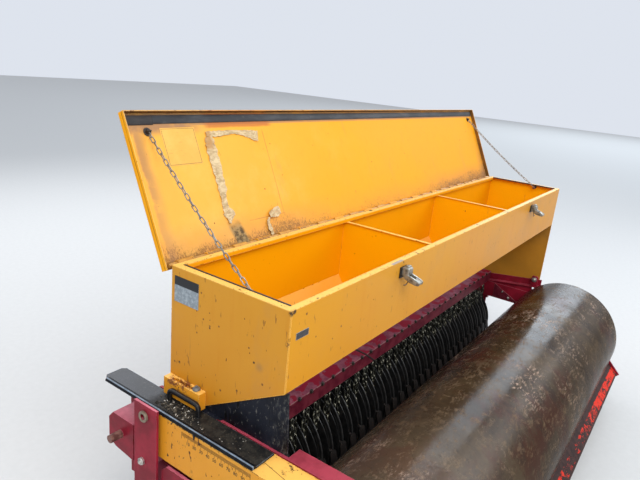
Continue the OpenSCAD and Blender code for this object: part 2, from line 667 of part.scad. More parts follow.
module scraper_bar() color([0.4, 0.2, 0.15]) at_wall() translate([0, blade_y, blade_z])
  rotate([180 + scraper_a, 0, 0])
    translate([-drum_half - scraper_t, 0, 0])
      cube([roller_l + 2 * scraper_t, scraper_h, scraper_t]);
module scraper_brackets() color([0.45, 0.07, 0.12]) at_wall() both()
  side_view(arm_in, arm_in + gusset_t) polygon([[arm_rear_y + 0.35 * beam_w, arm_low],
    [arm_rear_y, arm_low], [blade_y - 0.13 * scraper_h, blade_z + 0.13 * scraper_h],
    [blade_rear_y, blade_z - 0.68 * scraper_h],
    [blade_y - 0.72 * scraper_h, blade_z - 0.86 * scraper_h],
    [blade_y + 0.2 * scraper_h, blade_z - 0.2 * scraper_h]]);

module side_plate_left() color([0.5, 0.08, 0.14]) at_wall() {
  side_view(-plate_out, -arm_outer) polygon([[arm_rear_y, rail_top],
    [arm_rear_y, roller_r - 0.7 * case_r], [roller_y - 0.7 * case_r, roller_r - case_r],
    [roller_y + 0.7 * case_r, roller_r - case_r], [roller_y + 1.4 * case_r, arm_low],
    [arm_front_y, arm_low], [arm_front_y, rail_top - beam_w], [cover_front, rail_top]]);
  span([-arm_outer, arm_rear_y, rail_top - 2 * lip_t],
       [-arm_outer + 0.46 * beam_w, flap_rear - lip_t, rail_top]);
}

cover_in = plate_out + seat;
module drive_cover() color([0.9, 0.62, 0.15]) at_wall() difference() {
  span([-cover_face, arm_rear_y, cover_low], [-cover_in, cover_front, cover_top]);
  span([-cover_face + cover_t, arm_rear_y + cover_t, cover_low - 1],
       [-cover_in - cover_t, cover_front - cover_t, cover_top - cover_t]);
}
case_face = cover_face - 0.3 * case_r;
module chain_case() color([0.85, 0.58, 0.15]) at_wall() {
  bar_x(case_r, -case_face, -cover_in, roller_y, roller_r, 64);
  span([-case_face, roller_y - case_r, roller_r], [-cover_in, roller_y + case_r, cover_low - seat]);
}

slider_x1 = -plate_out - clear;
slider_x0 = slider_x1 - slider_w;
slider_top = cover_top + slider_t;
nose = 0.17 * slider_w;
module rate_slider() color([0.12, 0.13, 0.15]) at_wall() {
  translate([0, 0, cover_top + seat]) linear_extrude(slider_t - seat) polygon([
    [slider_x0, slider_rear], [slider_x1, slider_rear], [slider_x1, slider_front - nose],
    [slider_x1 - nose, slider_front], [slider_x0 + nose / 2, slider_front],
    [slider_x0, slider_front - nose / 2]]);
  span([slider_x0 - 4, slider_rear, cover_top + 2], [slider_x0, slider_front - nose, slider_top + 2]);
}
handle_t = 12;
handle_gap = 2;
handle_x = -half - adjuster_w - handle_gap - handle_t;
handle_top = slider_top + 44;
module slider_handle() color([0.07, 0.07, 0.08]) at_wall() {
  for (y = [handle_y, handle_y + handle_l - 1.3 * handle_t])
    span([handle_x, y, slider_top + seat], [handle_x + handle_t, y + 1.3 * handle_t, handle_top]);
  span([handle_x, handle_y, handle_top - 10],
       [handle_x + handle_t, handle_y + handle_l, handle_top]);
}
adjuster_low = cover_top + adjuster_h / 4;
adjuster_top = adjuster_low + adjuster_h;
module adjuster_box() color([0.92, 0.66, 0.15]) at_wall()
  difference() {
    span([-half - adjuster_w, adjuster_y, adjuster_low],
         [-half - seat, adjuster_y + adjuster_l, adjuster_top]);
    span([-half - 0.72 * adjuster_w, adjuster_y + 0.15 * adjuster_l, adjuster_top - 10],
         [-half - adjuster_w / 3, adjuster_y + 0.8 * adjuster_l, adjuster_top + 1]);
  }

guide_top = carrier_top - 90;
guide_out = 12;
guide_gap = 0.6;
carrier_y = stand_y - 40;
// Box that carries a stand beside the frame, with its guide below the cover
module stand_carrier(x_in, x_above) {
  span([x_in, carrier_y, arm_low], [stand_in - clear, stand_front + 10, arm_top]);
  span([x_above, carrier_y, arm_top - eps], [stand_in - clear, stand_front + 10, carrier_top]);
  difference() {
    span([stand_in - guide_out, stand_y - guide_out, guide_top - guide_h],
         [stand_in + stand_t + guide_out, stand_front + guide_out, guide_top]);
    span([stand_in - guide_gap, stand_y - guide_gap, guide_top - guide_h - 1],
         [stand_in + stand_t + guide_gap, stand_front + guide_gap, guide_top + 1]);
  }
}
shield_top = cover_low - 12;
module stand_carrier_left() color([0.5, 0.08, 0.14]) at_wall() mirror([1, 0, 0]) {
  stand_carrier(plate_out, plate_out);
  side_view(stand_in - 3 * clear, stand_in - clear) polygon([[carrier_y, arm_low],
    [carrier_y, carrier_top], [stand_y - 8, carrier_top], [stand_y - 8, shield_top - 20],
    [stand_y - 28, shield_top], [arm_rear_y, shield_top],
    [arm_rear_y, shield_top - 65], [arm_rear_y + 40, carrier_top]]);
}
module stand_carrier_right() color([0.5, 0.08, 0.14]) at_wall() stand_carrier(arm_outer, half + seat);

bracket_rear = stand_front + 27;
bracket_l = 118;
bracket_h = 126;
bracket_front = bracket_rear + bracket_l;
bracket_top = bracket_pin_z + 0.46 * bracket_h;
bracket_low = bracket_top - bracket_h;
bracket_t = 10;
bracket_out = stand_in - bracket_t + 2;
bracket_pin_y = bracket_rear + bracket_l / 2;
bracket_pin_l = 40;
module front_bracket(x_in) {
  side_view(bracket_out - bracket_t, bracket_out) polygon([
    [bracket_rear, bracket_low], [bracket_rear, bracket_top],
    [bracket_front - 0.17 * bracket_l, bracket_top],
    [bracket_front, bracket_top - 0.18 * bracket_h],
    [bracket_front, bracket_low + 0.22 * bracket_h],
    [bracket_front - 0.28 * bracket_l, bracket_low + bracket_t]]);
  span([x_in, bracket_rear, bracket_top - bracket_t],
       [bracket_out - bracket_t, bracket_front - 0.17 * bracket_l, bracket_top]);
  span([x_in, beam_y, bracket_low],
       [bracket_out - bracket_t, beam_y + bracket_t, bracket_top - bracket_t]);
  bar_x(0.9 * link_pin_r, bracket_out - 2 * bracket_t, bracket_out + bracket_pin_l,
    bracket_pin_y, bracket_pin_z);
}
module front_bracket_left() color([0.5, 0.08, 0.14]) at_wall()
  mirror([1, 0, 0]) front_bracket(plate_out);
module front_bracket_right() color([0.5, 0.08, 0.14]) at_wall() front_bracket(arm_outer);

foot_out = 30;
bush_y = stand_y + 0.54 * stand_w;
bush_z = stand_top - 36;
bolt_y = stand_y + 0.63 * stand_w;
bolt_z = stand_top - 191;
module stand() difference() {
  union() {
    span([stand_in, stand_y, 0], [stand_in + stand_t, stand_front, stand_top]);
    span([stand_in - foot_out, stand_y - 10, 0],
         [stand_in + stand_t + foot_out, stand_front + 10, 10]);
    bar_x(16, stand_in + stand_t, stand_in + stand_t + 6, bush_y, bush_z);
    bar_x(11, stand_in + stand_t, stand_in + stand_t + 7, bolt_y, bolt_z, 6);
  }
  bar_x(9.5, stand_in - 1, stand_in + stand_t + 20, bush_y, bush_z);
}
module stand_left() color([0.5, 0.08, 0.14]) at_wall() mirror([1, 0, 0]) stand();
module stand_right() color([0.5, 0.08, 0.14]) at_wall() stand();

side_arm_left();
side_arm_right();
tool_beam();
chain_beam();
beam_brackets();
headstock_mast();
headstock_braces();
lower_link_plates();
lower_link_pins();
pivot_hangers();
pivot_bar();
element_arms();
discs();
element_chains();
seed_tubes();
metering_housing();
hopper_shell();
hopper_end_left();
hopper_end_right();
partitions();
hopper_supports();
hinge_rod();
hinge_leaves();
lid();
lid_seal();
stay_chains();
latch_left();
latch_right();
blank_plates();
side_flap_left();
side_panel_right();
side_rail_right();
roller_drum();
roller_ends();
roller_bearings();
scraper_bar();
scraper_brackets();
side_plate_left();
drive_cover();
chain_case();
rate_slider();
slider_handle();
adjuster_box();
stand_carrier_left();
stand_carrier_right();
front_bracket_left();
front_bracket_right();
stand_left();
stand_right();
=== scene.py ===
import json
import math
import random

import bmesh
import bpy
from mathutils import Matrix, Vector, noise


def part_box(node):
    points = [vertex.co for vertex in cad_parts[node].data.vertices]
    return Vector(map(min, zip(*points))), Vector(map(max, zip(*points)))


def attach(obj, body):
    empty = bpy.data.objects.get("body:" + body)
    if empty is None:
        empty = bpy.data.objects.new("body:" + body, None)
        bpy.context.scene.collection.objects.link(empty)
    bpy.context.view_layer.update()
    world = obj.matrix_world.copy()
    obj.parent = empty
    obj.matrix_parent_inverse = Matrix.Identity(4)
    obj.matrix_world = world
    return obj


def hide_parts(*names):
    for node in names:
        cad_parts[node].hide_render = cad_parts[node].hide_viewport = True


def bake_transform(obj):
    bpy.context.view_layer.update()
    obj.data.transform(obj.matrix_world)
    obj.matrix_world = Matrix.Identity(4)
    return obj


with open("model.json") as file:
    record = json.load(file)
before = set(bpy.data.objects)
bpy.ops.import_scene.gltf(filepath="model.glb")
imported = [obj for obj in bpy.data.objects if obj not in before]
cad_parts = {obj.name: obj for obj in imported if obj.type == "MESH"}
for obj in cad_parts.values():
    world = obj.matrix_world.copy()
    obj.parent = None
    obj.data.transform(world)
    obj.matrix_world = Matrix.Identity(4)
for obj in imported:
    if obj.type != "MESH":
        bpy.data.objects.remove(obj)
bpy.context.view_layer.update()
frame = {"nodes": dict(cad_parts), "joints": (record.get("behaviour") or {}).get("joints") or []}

JOINTS = {j["name"]: j for j in frame["joints"]}
MM = 0.001

# Places read from the frame, in metres
(_, WALL_Y, _), (_, FRONT_Y, RIM_Z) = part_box("hopper_shell")
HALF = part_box("hopper_end_right")[1][0]
HINGE = Vector(JOINTS["lid_hinge"]["pos_m"])
LID_OPEN = math.radians(JOINTS["lid_hinge"]["range_deg"][1])
LID_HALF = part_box("lid")[1][0]
BEAM_LOW, BEAM_HIGH = [Vector(v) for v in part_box("chain_beam")]
DISC_LOW, DISC_HIGH = [Vector(v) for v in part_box("discs")]
DISC_R = (DISC_HIGH.z - DISC_LOW.z) / 2
DISC_Y = (DISC_HIGH.y + DISC_LOW.y) / 2
DISC_Z = DISC_LOW.z + DISC_R
SCRAPER_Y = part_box("scraper_bar")[0][1] + 0.035
LID_UNDER = 0.020
LID_ALONG = Vector((0, -math.cos(LID_OPEN), math.sin(LID_OPEN)))
LID_OUT = Vector((0, math.sin(LID_OPEN), math.cos(LID_OPEN)))

# The number of rows, and places measured on the photograph, in metres
ROWS = 33
PITCH = 0.075
LATCH_X = -0.737
STAND_FOOT = 0.030
SEAL_JOINT = -1.228
BEAM_FOLD = (0.5595, 0.5612)
CASE_SEAM = (-1.3747, -1.3735)
PIN_REACH = 1.424
PLATE_HEAD_Z = 1.134
LIP_HIGHLIGHT = (-1.4172, -1.4145)

# Marks in the paint, as x, distance from the rear wall, height and radius
END_MARKS = [(-HALF, y * MM, z * MM, r * MM) for y, z, r in (
    (309, 1139, 4), (275, 1090, 3), (273, 1070, 3), (272, 1052, 4), (298, 1064, 4), (238, 1063, 4),
    (322, 1015, 4), (411, 890, 5), (222, 874, 5), (161, 899, 5), (127, 1041, 4), (74, 955, 5), (4, 1096, 9))]
WALL_MARKS = [(x * MM, 0.0, z * MM, r * MM) for x, z, r in (
    (-1084, 1068, 5), (-1124, 1043, 4), (-1207, 1079, 4), (-1258, 1161, 6), (-788, 1075, 5), (-870, 994, 5))]
DARK_MARKS = [(-HALF, 0.107, 1.006, 0.005), (-HALF, 0.272, 1.046, 0.0045), (-HALF, 0.391, 0.895, 0.006),
              (-HALF + 0.004, 0.0, RIM_Z - 0.007, 0.011), (-HALF + 0.014, 0.0, RIM_Z - 0.005, 0.01),
              (LATCH_X, 0.0, RIM_Z - 0.007, 0.006)]

# Colours of the paints and of the dirt
# The outer paint is darker and duller than the inner: painted shade on the outer walls.
OUTSIDE = ((0.56, 0.24, 0.016), (0.59, 0.29, 0.034), (0.52, 0.18, 0.008))
LID_TONES = ((0.8, 0.33, 0.002), (0.82, 0.36, 0.012), (0.74, 0.27, 0.002))
TRIM = ((0.66, 0.27, 0.016), (0.68, 0.32, 0.035), (0.56, 0.2, 0.008))
INSIDE = (0.77, 0.325, 0.0)
INSIDE_DEEP = (0.66, 0.25, 0.0)
YELLOW_RIM = (0.86, 0.5, 0.12)
RED = (0.28, 0.012, 0.03)
RED_DARK = (0.17, 0.008, 0.018)
RED_PALE = (0.6, 0.16, 0.22)
RUST = (0.1, 0.032, 0.012)
SOIL = (0.06, 0.04, 0.022)
SOOT = (0.012, 0.01, 0.008)
DUST = (0.3, 0.24, 0.16)

UP = (0, 0, 1)
REAR = (0, -1, 0)
AHEAD = (0, 1, 0)
LEFT = (-1, 0, 0)
RIGHT = (1, 0, 0)


class Value:
    """What a socket gives; sums, products and the greater of two (a | b) become nodes."""

    def __init__(self, look, socket):
        self.look = look
        self.socket = socket

    def __add__(self, other):
        return self.look.math("ADD", self, other)

    def __sub__(self, other):
        return self.look.math("SUBTRACT", self, other)

    def __rsub__(self, other):
        return self.look.math("SUBTRACT", other, self)

    def __mul__(self, other):
        return self.look.math("MULTIPLY", self, other)

    def __truediv__(self, other):
        return self.look.math("DIVIDE", self, other)

    def __or__(self, other):
        return self.look.math("MAXIMUM", self, other)

    def __abs__(self):
        return self.look.math("ABSOLUTE", self)

    def steps(self, low, high, a=0.0, b=1.0):
        """Goes smoothly from a to b between low and high."""
        inputs = {"Value": self, "From Min": low, "From Max": high, "To Min": a, "To Max": b}
        return self.look.node("ShaderNodeMapRange", 0, inputs, interpolation_type="SMOOTHSTEP")

    def band(self, low, high, soft):
        """One between low and high, falling to nought over soft on both sides."""
        return self.steps(low - soft, low) * self.steps(high, high + soft, 1, 0)


class Look:
    """A node material under construction, read in the object's own coordinates."""

    def __init__(self, name):
        self.mat = bpy.data.materials.new(name)
        self.mat.use_nodes = True
        self.tree = self.mat.node_tree
        self.tree.nodes.clear()
        self.coord = self.node("ShaderNodeTexCoord", "Object", {})
        self.normal = self.node("ShaderNodeTexCoord", "Normal", {})
        self.color = None

    def put(self, socket, value):
        if isinstance(value, Value):
            self.tree.links.new(value.socket, socket)
        elif socket.type == "RGBA":
            socket.default_value = (*value, 1)
        else:
            socket.default_value = value

    def node(self, kind, output, inputs, **props):
        """Adds a node, fills its inputs and gives one of its outputs."""
        n = self.tree.nodes.new(kind)
        for key, value in props.items():
            setattr(n, key, value)
        for key, value in inputs.items():
            self.put(n.inputs[key], value)
        return Value(self, n.outputs[output])

    def math(self, op, a, b=0.0):
        return self.node("ShaderNodeMath", 0, {0: a, 1: b}, operation=op)

    def vector(self, op, a, b, output="Value"):
        return self.node("ShaderNodeVectorMath", output, {0: a, 1: b}, operation=op)

    def mix(self, fac, a, b):
        return self.node("ShaderNodeMix", 2, {0: fac, 6: a, 7: b}, data_type="RGBA")

    def over(self, fac, color):
        """Lays another colour over what the look has so far."""
        self.color = self.mix(fac, self.color, color)

    def place(self, stretch, shift):
        inputs = {"Vector": self.coord, "Scale": stretch, "Location": shift}
        return self.node("ShaderNodeMapping", 0, inputs)

    def noise(self, scale, detail=4, rough=0.55, stretch=(1, 1, 1), shift=(0, 0, 0), warp=0.0):
        inputs = {"Scale": scale, "Detail": detail, "Roughness": rough, "Distortion": warp}
        inputs["Vector"] = self.place(stretch, shift)
        return self.node("ShaderNodeTexNoise", "Fac", inputs)

    def cells(self, scale, shift=(0, 0, 0)):
        inputs = {"Vector": self.place((1, 1, 1), shift), "Scale": scale}
        return self.node("ShaderNodeTexVoronoi", "Distance", inputs)

    def along(self, direction, origin=(0, 0, 0)):
        """Distance of the point from origin along a direction."""
        return self.vector("DOT_PRODUCT", self.vector("SUBTRACT", self.coord, origin, 0), direction)

    def x(self):
        return self.along(RIGHT)

    def y(self, origin=0.0):
        return self.along(AHEAD, (0, origin, 0))

    def z(self, origin=0.0):
        return self.along(UP, (0, 0, origin))

    def facing(self, direction):
        return self.vector("DOT_PRODUCT", self.normal, direction)

    def spot(self, point, r, soft):
        """One at a point, falling to nought at the distance r."""
        return self.vector("DISTANCE", self.coord, point).steps(r * (1 - soft), r, 1, 0)

    def round_edges(self, radius):
        return self.node("ShaderNodeBevel", 0, {"Radius": radius}, samples=4)

    def edges(self, radius):
        """One along edges, within radius, nought elsewhere."""
        flat = self.node("ShaderNodeNewGeometry", "Normal", {})
        return (1.0 - self.vector("DOT_PRODUCT", self.round_edges(radius), flat)).steps(0.004, 0.05)

    def bump(self, height, strength, distance, under=None):
        """A normal bent by height, over another normal or over edges of a given radius."""
        inputs = {"Strength": strength, "Distance": distance, "Height": height}
        if isinstance(under, float):
            under = self.round_edges(under)
        if under is not None:
            inputs["Normal"] = under
        return self.node("ShaderNodeBump", 0, inputs)

    def finish(self, rough, normal=None, metal=0.0, spec=0.5):
        inputs = {"Base Color": self.color, "Roughness": rough, "Metallic": metal}
        inputs["Specular IOR Level"] = spec
        if normal is not None:
            inputs["Normal"] = normal
        out = self.tree.nodes.new("ShaderNodeOutputMaterial")
        self.put(out.inputs[0], self.node("ShaderNodeBsdfPrincipled", 0, inputs))
        return self.mat


def toned(name, grain, low, high, dark, light):
    """Starts a look from two tones, mixed by a noise that is given back with it."""
    m = Look(name)
    fac = m.noise(*grain)
    m.color = m.mix(fac.steps(low, high), dark, light)
    return m, fac


def faded_yellow(m, tones, pale=0.5):
    """Sheet paint in three tones: broad fading with soft vertical streaks."""
    broad = m.noise(2.6, 5, 0.6)
    m.color = m.mix(broad.steps(0.35, 0.7, 0, pale), tones[0], tones[1])
    streak = m.noise(13, 5, 0.6, (4, 4, 0.3))
    m.over(streak.steps(0.5, 0.8, 0, 0.35), tones[2])
    return broad


def chipped(m, amount=0.0):
    """Small dark spots, and edges worn pale with a few chips down to rust."""
    edge = m.edges(0.0035)
    ragged = m.noise(60, 5, 0.7)
    m.over(edge * 0.75, YELLOW_RIM)
    flaked = edge * ragged.steps(0.57 - amount, 0.61 - amount)
    spots = m.noise(75, 2, 0.5, (1, 1, 0.6)).steps(0.75 - amount, 0.78 - amount)
    scars = m.noise(38, 4, 0.7, (1, 1, 0.4), (3, 1, 2)).steps(0.73 - amount, 0.75 - amount)
    m.over(m.noise(26, 4, 0.65, (1, 1, 0.16), (8, 2, 4)).steps(0.69, 0.76, 0, 0.45), (0.3, 0.13, 0.03))
    lost = flaked | spots | scars
    m.over(lost, RUST)
    return lost


def sheet_normal(m, lost, wave=0.25):
    ripple = m.bump(m.noise(1.7, 2), wave, 0.012, 0.002)
    peel = m.bump(m.noise(320, 2), 0.06, 0.0004, ripple)
    return m.bump(lost, 0.35, 0.0006, peel)


def marked(m, marks, tint):
    """Small ragged marks at measured places, each given as x, y, z and a radius."""
    ragged = m.noise(110, 5, 0.7)
    shape = None
    for x, y, z, r in marks:
        one = m.spot((x, WALL_Y + y, z), r, 0.7)
        shape = one if shape is None else shape | one
    m.over(shape * ragged.steps(0.36, 0.5), tint)


def hopper_paint():
    m = Look("hopper_paint")
    broad = faded_yellow(m, OUTSIDE)
    y = m.y((WALL_Y + FRONT_Y) / 2)
    z = m.z(RIM_Z + 0.1)
    x = m.x()
    inward = m.facing(AHEAD) * y + m.facing(UP) * z + m.facing(RIGHT) * (x * 0.4)
    inside = (inward * -1.0).steps(0, 0.004)
    across = abs(m.facing(RIGHT)).steps(0.7, 0.9)
    inside = inside | across * abs(x).steps(0.7, 0.8, 1, 0)
    m.over(m.noise(3.4, 7, 0.72, shift=(1, 3, 7), warp=0.4).steps(0.45, 0.68, 0, 0.5), (0.46, 0.23, 0.06))
    m.over(x.steps(-0.85, -1.25) * m.facing(REAR).steps(0.5, 0.8, 0, 0.7), (0.57, 0.255, 0.006))
    rim = z.steps(-0.1035, -0.1005)
    inside = inside * (1.0 - rim)
    seeds = m.cells(26, (1.7, 0.3, 0.9)).steps(0.035, 0.02)
    dusty = m.noise(7, 6, 0.7).steps(0.5, 0.8, 0, 0.3)
    up = m.facing(UP)
    floor = up.steps(0.2, 0.5) * m.noise(4, 5, 0.6).steps(0.3, 0.6, 0.3, 0.6)
    deep = m.mix(floor, m.mix(dusty, INSIDE, INSIDE_DEEP), (0.8, 0.42, 0.1))
    # Painted light: partition faces turned to the near end are brightened to undo the rear wall's shadow.
    turned = m.facing(LEFT).steps(0.7, 0.9) * x.steps(-0.8, -0.7)
    deep = m.mix(turned, deep, (0.88, 0.395, 0.0))
    deep = m.mix(seeds, deep, RUST)
    m.over(inside, deep)
    low = z.steps(-0.13, -0.45, 0, 0.3)
    m.over(low * (1.0 - inside), OUTSIDE[2])
    # Painted highlight: the rim's top and the folded tops near it are laid pale yellow.
    fold = up.steps(0.85, 0.95) * z.steps(-0.13, -0.12, 0, 0.8)
    m.over(rim * 0.85 | fold, YELLOW_RIM)
    worn = m.noise(31, 6, 0.8, (0.6, 0.6, 1)).steps(0.6, 0.63) * rim
    lost = chipped(m)
    streak = m.noise(75, 3, 0.5, (1, 1, 0.35), (6, 2, 2)).steps(0.66, 0.72, 0, 0.7)
    m.over(streak * (1.0 - inside), (0.22, 0.09, 0.02))
    m.over(worn, SOOT)
    bare = (x + broad * 0.03).band(-0.79, -0.725, 0.008) * rim
    m.over(bare * m.y(WALL_Y).steps(0.012, 0.008) * 0.8, (0.26, 0.26, 0.27))
    marked(m, END_MARKS + WALL_MARKS, (0.13, 0.055, 0.02))
    marked(m, DARK_MARKS, (0.03, 0.02, 0.018))
    m.over(m.spot((-HALF, WALL_Y + 0.088, 1), 0.02, 1) * 0.4, (0.2, 0.13, 0.07))
    rough = broad.steps(0.3, 0.8, 0.36, 0.48) + lost * 0.3
    return m.finish(rough, sheet_normal(m, lost), spec=0.16)


def lid_paint():
    """Bright paint inside, paler at the near end as a painted sheen, with mould above the hinge, and dirt
    with painted shade by the flanges.
    """
    m = Look("lid_paint")
    broad = faded_yellow(m, LID_TONES, 0.45)
    base = m.color
    up = m.along(LID_ALONG, HINGE)
    x = m.x()
    fuzz = m.noise(9, 7, 0.72)
    inner = (m.facing(LID_OUT) * -1.0).steps(0.2, 0.6)
    # Painted sheen: the lid is paler towards the near end.
    m.over(x.steps(-1.3, -0.3, 0.55, 0), (0.75, 0.415, 0.1))
    film = m.noise(5, 6, 0.7, shift=(2, 0, 5)).steps(0.45, 0.8, 0, 0.5) * x.steps(-1.2, 0.2, 1, 0)
    m.over(film, (0.82, 0.47, 0.12))
    scuff = m.noise(7, 5, 0.7, (2.2, 0.35, 0.35), (3, 0, 1))
    m.over(scuff.steps(0.58, 0.72, 0, 0.22), (0.5, 0.2, 0.1))
    sheet = x.band(-0.7525, -0.7495, 0.0012) * up.band(0.075, 0.375, 0.02)
    foot = up.band(0.073, 0.0755, 0.001) * x.band(-0.93, -0.75, 0.01)
    m.over((sheet | foot) * fuzz.steps(0.35, 0.6, 0.1, 0.55), (0.3, 0.12, 0.03))
    clump = m.noise(6.5, 5, 0.65, shift=(4, 1, 0))
    reach = clump.steps(0.35, 0.65) * 0.05 + 0.035
    dense = (up / reach).steps(0, 1.3, 1, 0)
    part = x.steps(-0.85, -0.35, 1, 0.35) | x.steps(0.3, 0.9, 0.35, 1)
    dense = dense * part
    haze = up.steps(0, 0.13, 0.65, 0) * (part * clump.steps(0.2, 0.6, 0.6, 1))
    m.over(dense * 0.55 | haze, (0.4, 0.18, 0.065))
    grain = m.noise(200, 5, 0.8, (1, 0.55, 0.55))
    speck = (grain + dense * 0.18).steps(0.55, 0.7)
    m.over(speck * dense.steps(0, 0.35) * 0.7, (0.13, 0.065, 0.02))
    hang = x + up * 0.33
    hang = (hang + fuzz * 0.02).band(-0.995, -0.955, 0.018) * up.steps(0.05, 0.1, 1, 0)
    tint = m.mix(m.noise(55, 5, 0.7).steps(0.4, 0.6), (0.08, 0.05, 0.02), (0.3, 0.2, 0.08))
    m.over(hang * fuzz.steps(0.25, 0.5), tint)
    # Dirt and painted shade by the flanges: inside the near flange, at the far end and along the free edge.
    lean = x + fuzz * 0.03 + up * 0.02
    near = lean.steps(-1.29, -1.278) * lean.steps(-1.275, -1.232, 1, 0)
    near = near * up.steps(0.05, 0.3, 0.35, 0.62)
    far = x.steps(LID_HALF - 0.12, LID_HALF - 0.01) * up.steps(0.33, 0.0, 0, 0.6)
    top = up.steps(0.375, 0.405) * x.steps(-1.12, -1.0, 0.8, 0)
    top = top | up.steps(0.407, 0.414, 0, 0.7)
    flange_dirt_and_shade = near | far | top
    m.over(flange_dirt_and_shade * fuzz.steps(0.2, 0.5), (0.24, 0.135, 0.09))
    # Dirt and painted shade on the inner faces of the flanges.
    down = m.facing(LID_ALONG) * -1.0
    turned = down.steps(0.7, 0.9) | m.facing(LEFT).steps(0.7, 0.9) * x.steps(0, 0.1)
    warm = x.band(-1.0, -0.72, 0.04) * (up + fuzz * 0.01).steps(0.402, 0.41)
    m.over(warm * 0.75, (0.42, 0.12, 0.03))
    m.color = m.mix(inner, base, m.color)
    m.over(turned * fuzz.steps(0.2, 0.55, 0.5, 0.95), (0.1, 0.05, 0.02))
    deep = m.along(LID_OUT, HINGE)
    hem = deep.band(0.007, 0.0085, 0.0015) * m.facing(LEFT).steps(0.7, 0.9)
    m.over(hem * fuzz.steps(0.3, 0.6, 0.2, 0.8), (0.2, 0.08, 0.01))
    lost = chipped(m)
    rough = broad.steps(0.3, 0.8, 0.4, 0.55)
    return m.finish(rough, sheet_normal(m, lost, 0.35), spec=0.1)


def trim_paint():
    """Yellow pieces that are handled or trodden: a painted highlight on top, many chips, dirt on top and
    rust on the adjuster.
    """
    m = Look("trim_paint")
    faded_yellow(m, TRIM, 0.6)
    # Painted highlight: upward faces are laid pale yellow.
    top = m.facing(UP).steps(0.6, 0.9)
    m.over(top * 0.7, YELLOW_RIM)
    lost = chipped(m, 0.05)
    y = m.y(WALL_Y)
    x = m.x()
    busy = y.steps(0.16, 0.34) * x.steps(-HALF - 0.06, -HALF - 0.08)
    dots = m.noise(62, 3, 0.6, (1, 1, 0.7), (5, 5, 5)).steps(0.64, 0.67)
    m.over(busy * dots, SOOT)
    m.over(m.noise(45, 4, 0.7, shift=(2, 8, 5)).steps(0.66, 0.69) * 0.8, (0.1, 0.05, 0.02))
    grime = top * m.noise(34, 6, 0.75, (1, 0.6, 1)).steps(0.56, 0.66)
    m.over(grime, SOOT)
    slant = x - y * 0.182
    m.over(slant.band(*CASE_SEAM, 0.0008) * y.steps(0.018, 0.014) * 0.9, SOOT)
    box = x.steps(-HALF - 0.035, -HALF - 0.03) * y.band(0.315, 0.405, 0.01)
    rust = box * m.noise(60, 6, 0.75, (1.4, 0.7, 1)).steps(0.47, 0.53)
    rust = rust * m.z().steps(0.82, 0.835)
    m.over(rust, (0.2, 0.065, 0.02))
    rough = (lost | grime) * 0.3 + 0.4
    return m.finish(rough, sheet_normal(m, lost | rust), spec=0.2)


def panel_paint():
    """The far side panel, its inner face dulled brown by dust thrown up from the roller and by painted
    shade.
    """
    m = Look("panel_paint")
    faded_yellow(m, OUTSIDE)
    # Dust and painted shade darken the inner face.
    inner = m.facing(LEFT).steps(0.3, 0.8)
    dusty = m.noise(6, 6, 0.7).steps(0.3, 0.7, 0.45, 0.75)
    m.over(inner * dusty, (0.17, 0.085, 0.02))
    m.over(m.z().steps(0.93, 0.76, 0, 0.45), (0.6, 0.25, 0.01))
    lost = chipped(m, 0.01)
    return m.finish(0.5, sheet_normal(m, lost), spec=0.35)


def red_paint():
    m, cloud = toned("red_paint", (11, 6, 0.65), 0.35, 0.65, RED_DARK, RED)
    reach = abs(m.x())
    # Dust and painted sky reflection: upward faces are laid pale pink, strongest on the outer side pieces.
    up = m.facing(UP).steps(0.5, 0.9, 0, 0.75) * reach.steps(1.325, 1.345, 0.28, 1)
    m.over(up * cloud.steps(0.3, 0.6, 0.5, 1), RED_PALE)
    edge = m.edges(0.003)
    m.over(edge * 0.3, RED_PALE)
    ragged = m.noise(70, 5, 0.7)
    lost = edge * ragged.steps(0.55, 0.6)
    lost = lost | m.noise(52, 4, 0.6).steps(0.71, 0.74)
    m.over(lost, RUST)
    dirt = m.noise(9, 7, 0.75, (1, 1, 0.6)).steps(0.5, 0.8, 0, 0.3)
    m.over(dirt, SOIL)
    pin = reach.steps(PIN_REACH - 0.0005, PIN_REACH + 0.0005) * m.y().steps(0.284, 0.288)
    m.over(pin, m.mix(ragged.steps(0.4, 0.6), (0.09, 0.035, 0.03), (0.2, 0.1, 0.08)))
    normal = m.bump(lost, 0.35, 0.0006, m.bump(m.noise(6, 3), 0.2, 0.004, 0.002))
    rough = (lost | dirt) * 0.5 + 0.38
    return m.finish(rough, normal, spec=0.15)


def beam_paint():
    """Folded beam: pink on top, partly dust and partly painted sky reflection, with clean patches; a web
    darker as painted shade; a worn fold and a pale lower edge.
    """
    m = Look("beam_paint")
    cloud = m.noise(16, 6, 0.7)
    # The pink on top is partly dust and partly painted sky reflection; the web's darker red is painted
    # shade.
    dust = m.mix(cloud.steps(0.35, 0.65), (0.15, 0.022, 0.045), (0.27, 0.075, 0.11))
    clean = m.noise(13, 3, 0.5, shift=(4, 2, 1), warp=0.6).steps(0.49, 0.515)
    top = m.mix(clean, dust, (0.23, 0.001, 0.018))
    web = m.mix(cloud.steps(0.4, 0.6), (0.1, 0.007, 0.018), (0.17, 0.022, 0.036))
    face = m.facing(UP).steps(0.3, 0.7)
    m.color = m.mix(face, web, top)
    m.over(m.noise(110, 4, 0.7).steps(0.62, 0.68, 0, 0.6), (0.05, 0.02, 0.015))
    m.over(m.edges(0.0035) * m.noise(30, 5, 0.7).steps(0.35, 0.55, 0.3, 0.9), (0.34, 0.16, 0.15))
    m.over(m.z().band(*BEAM_FOLD, 0.0007) * m.noise(24, 5, 0.7).steps(0.42, 0.5) * 0.8, (0.55, 0.3, 0.3))
    return m.finish(0.5, m.bump(m.noise(6, 3), 0.2, 0.004, 0.002), spec=0.15)


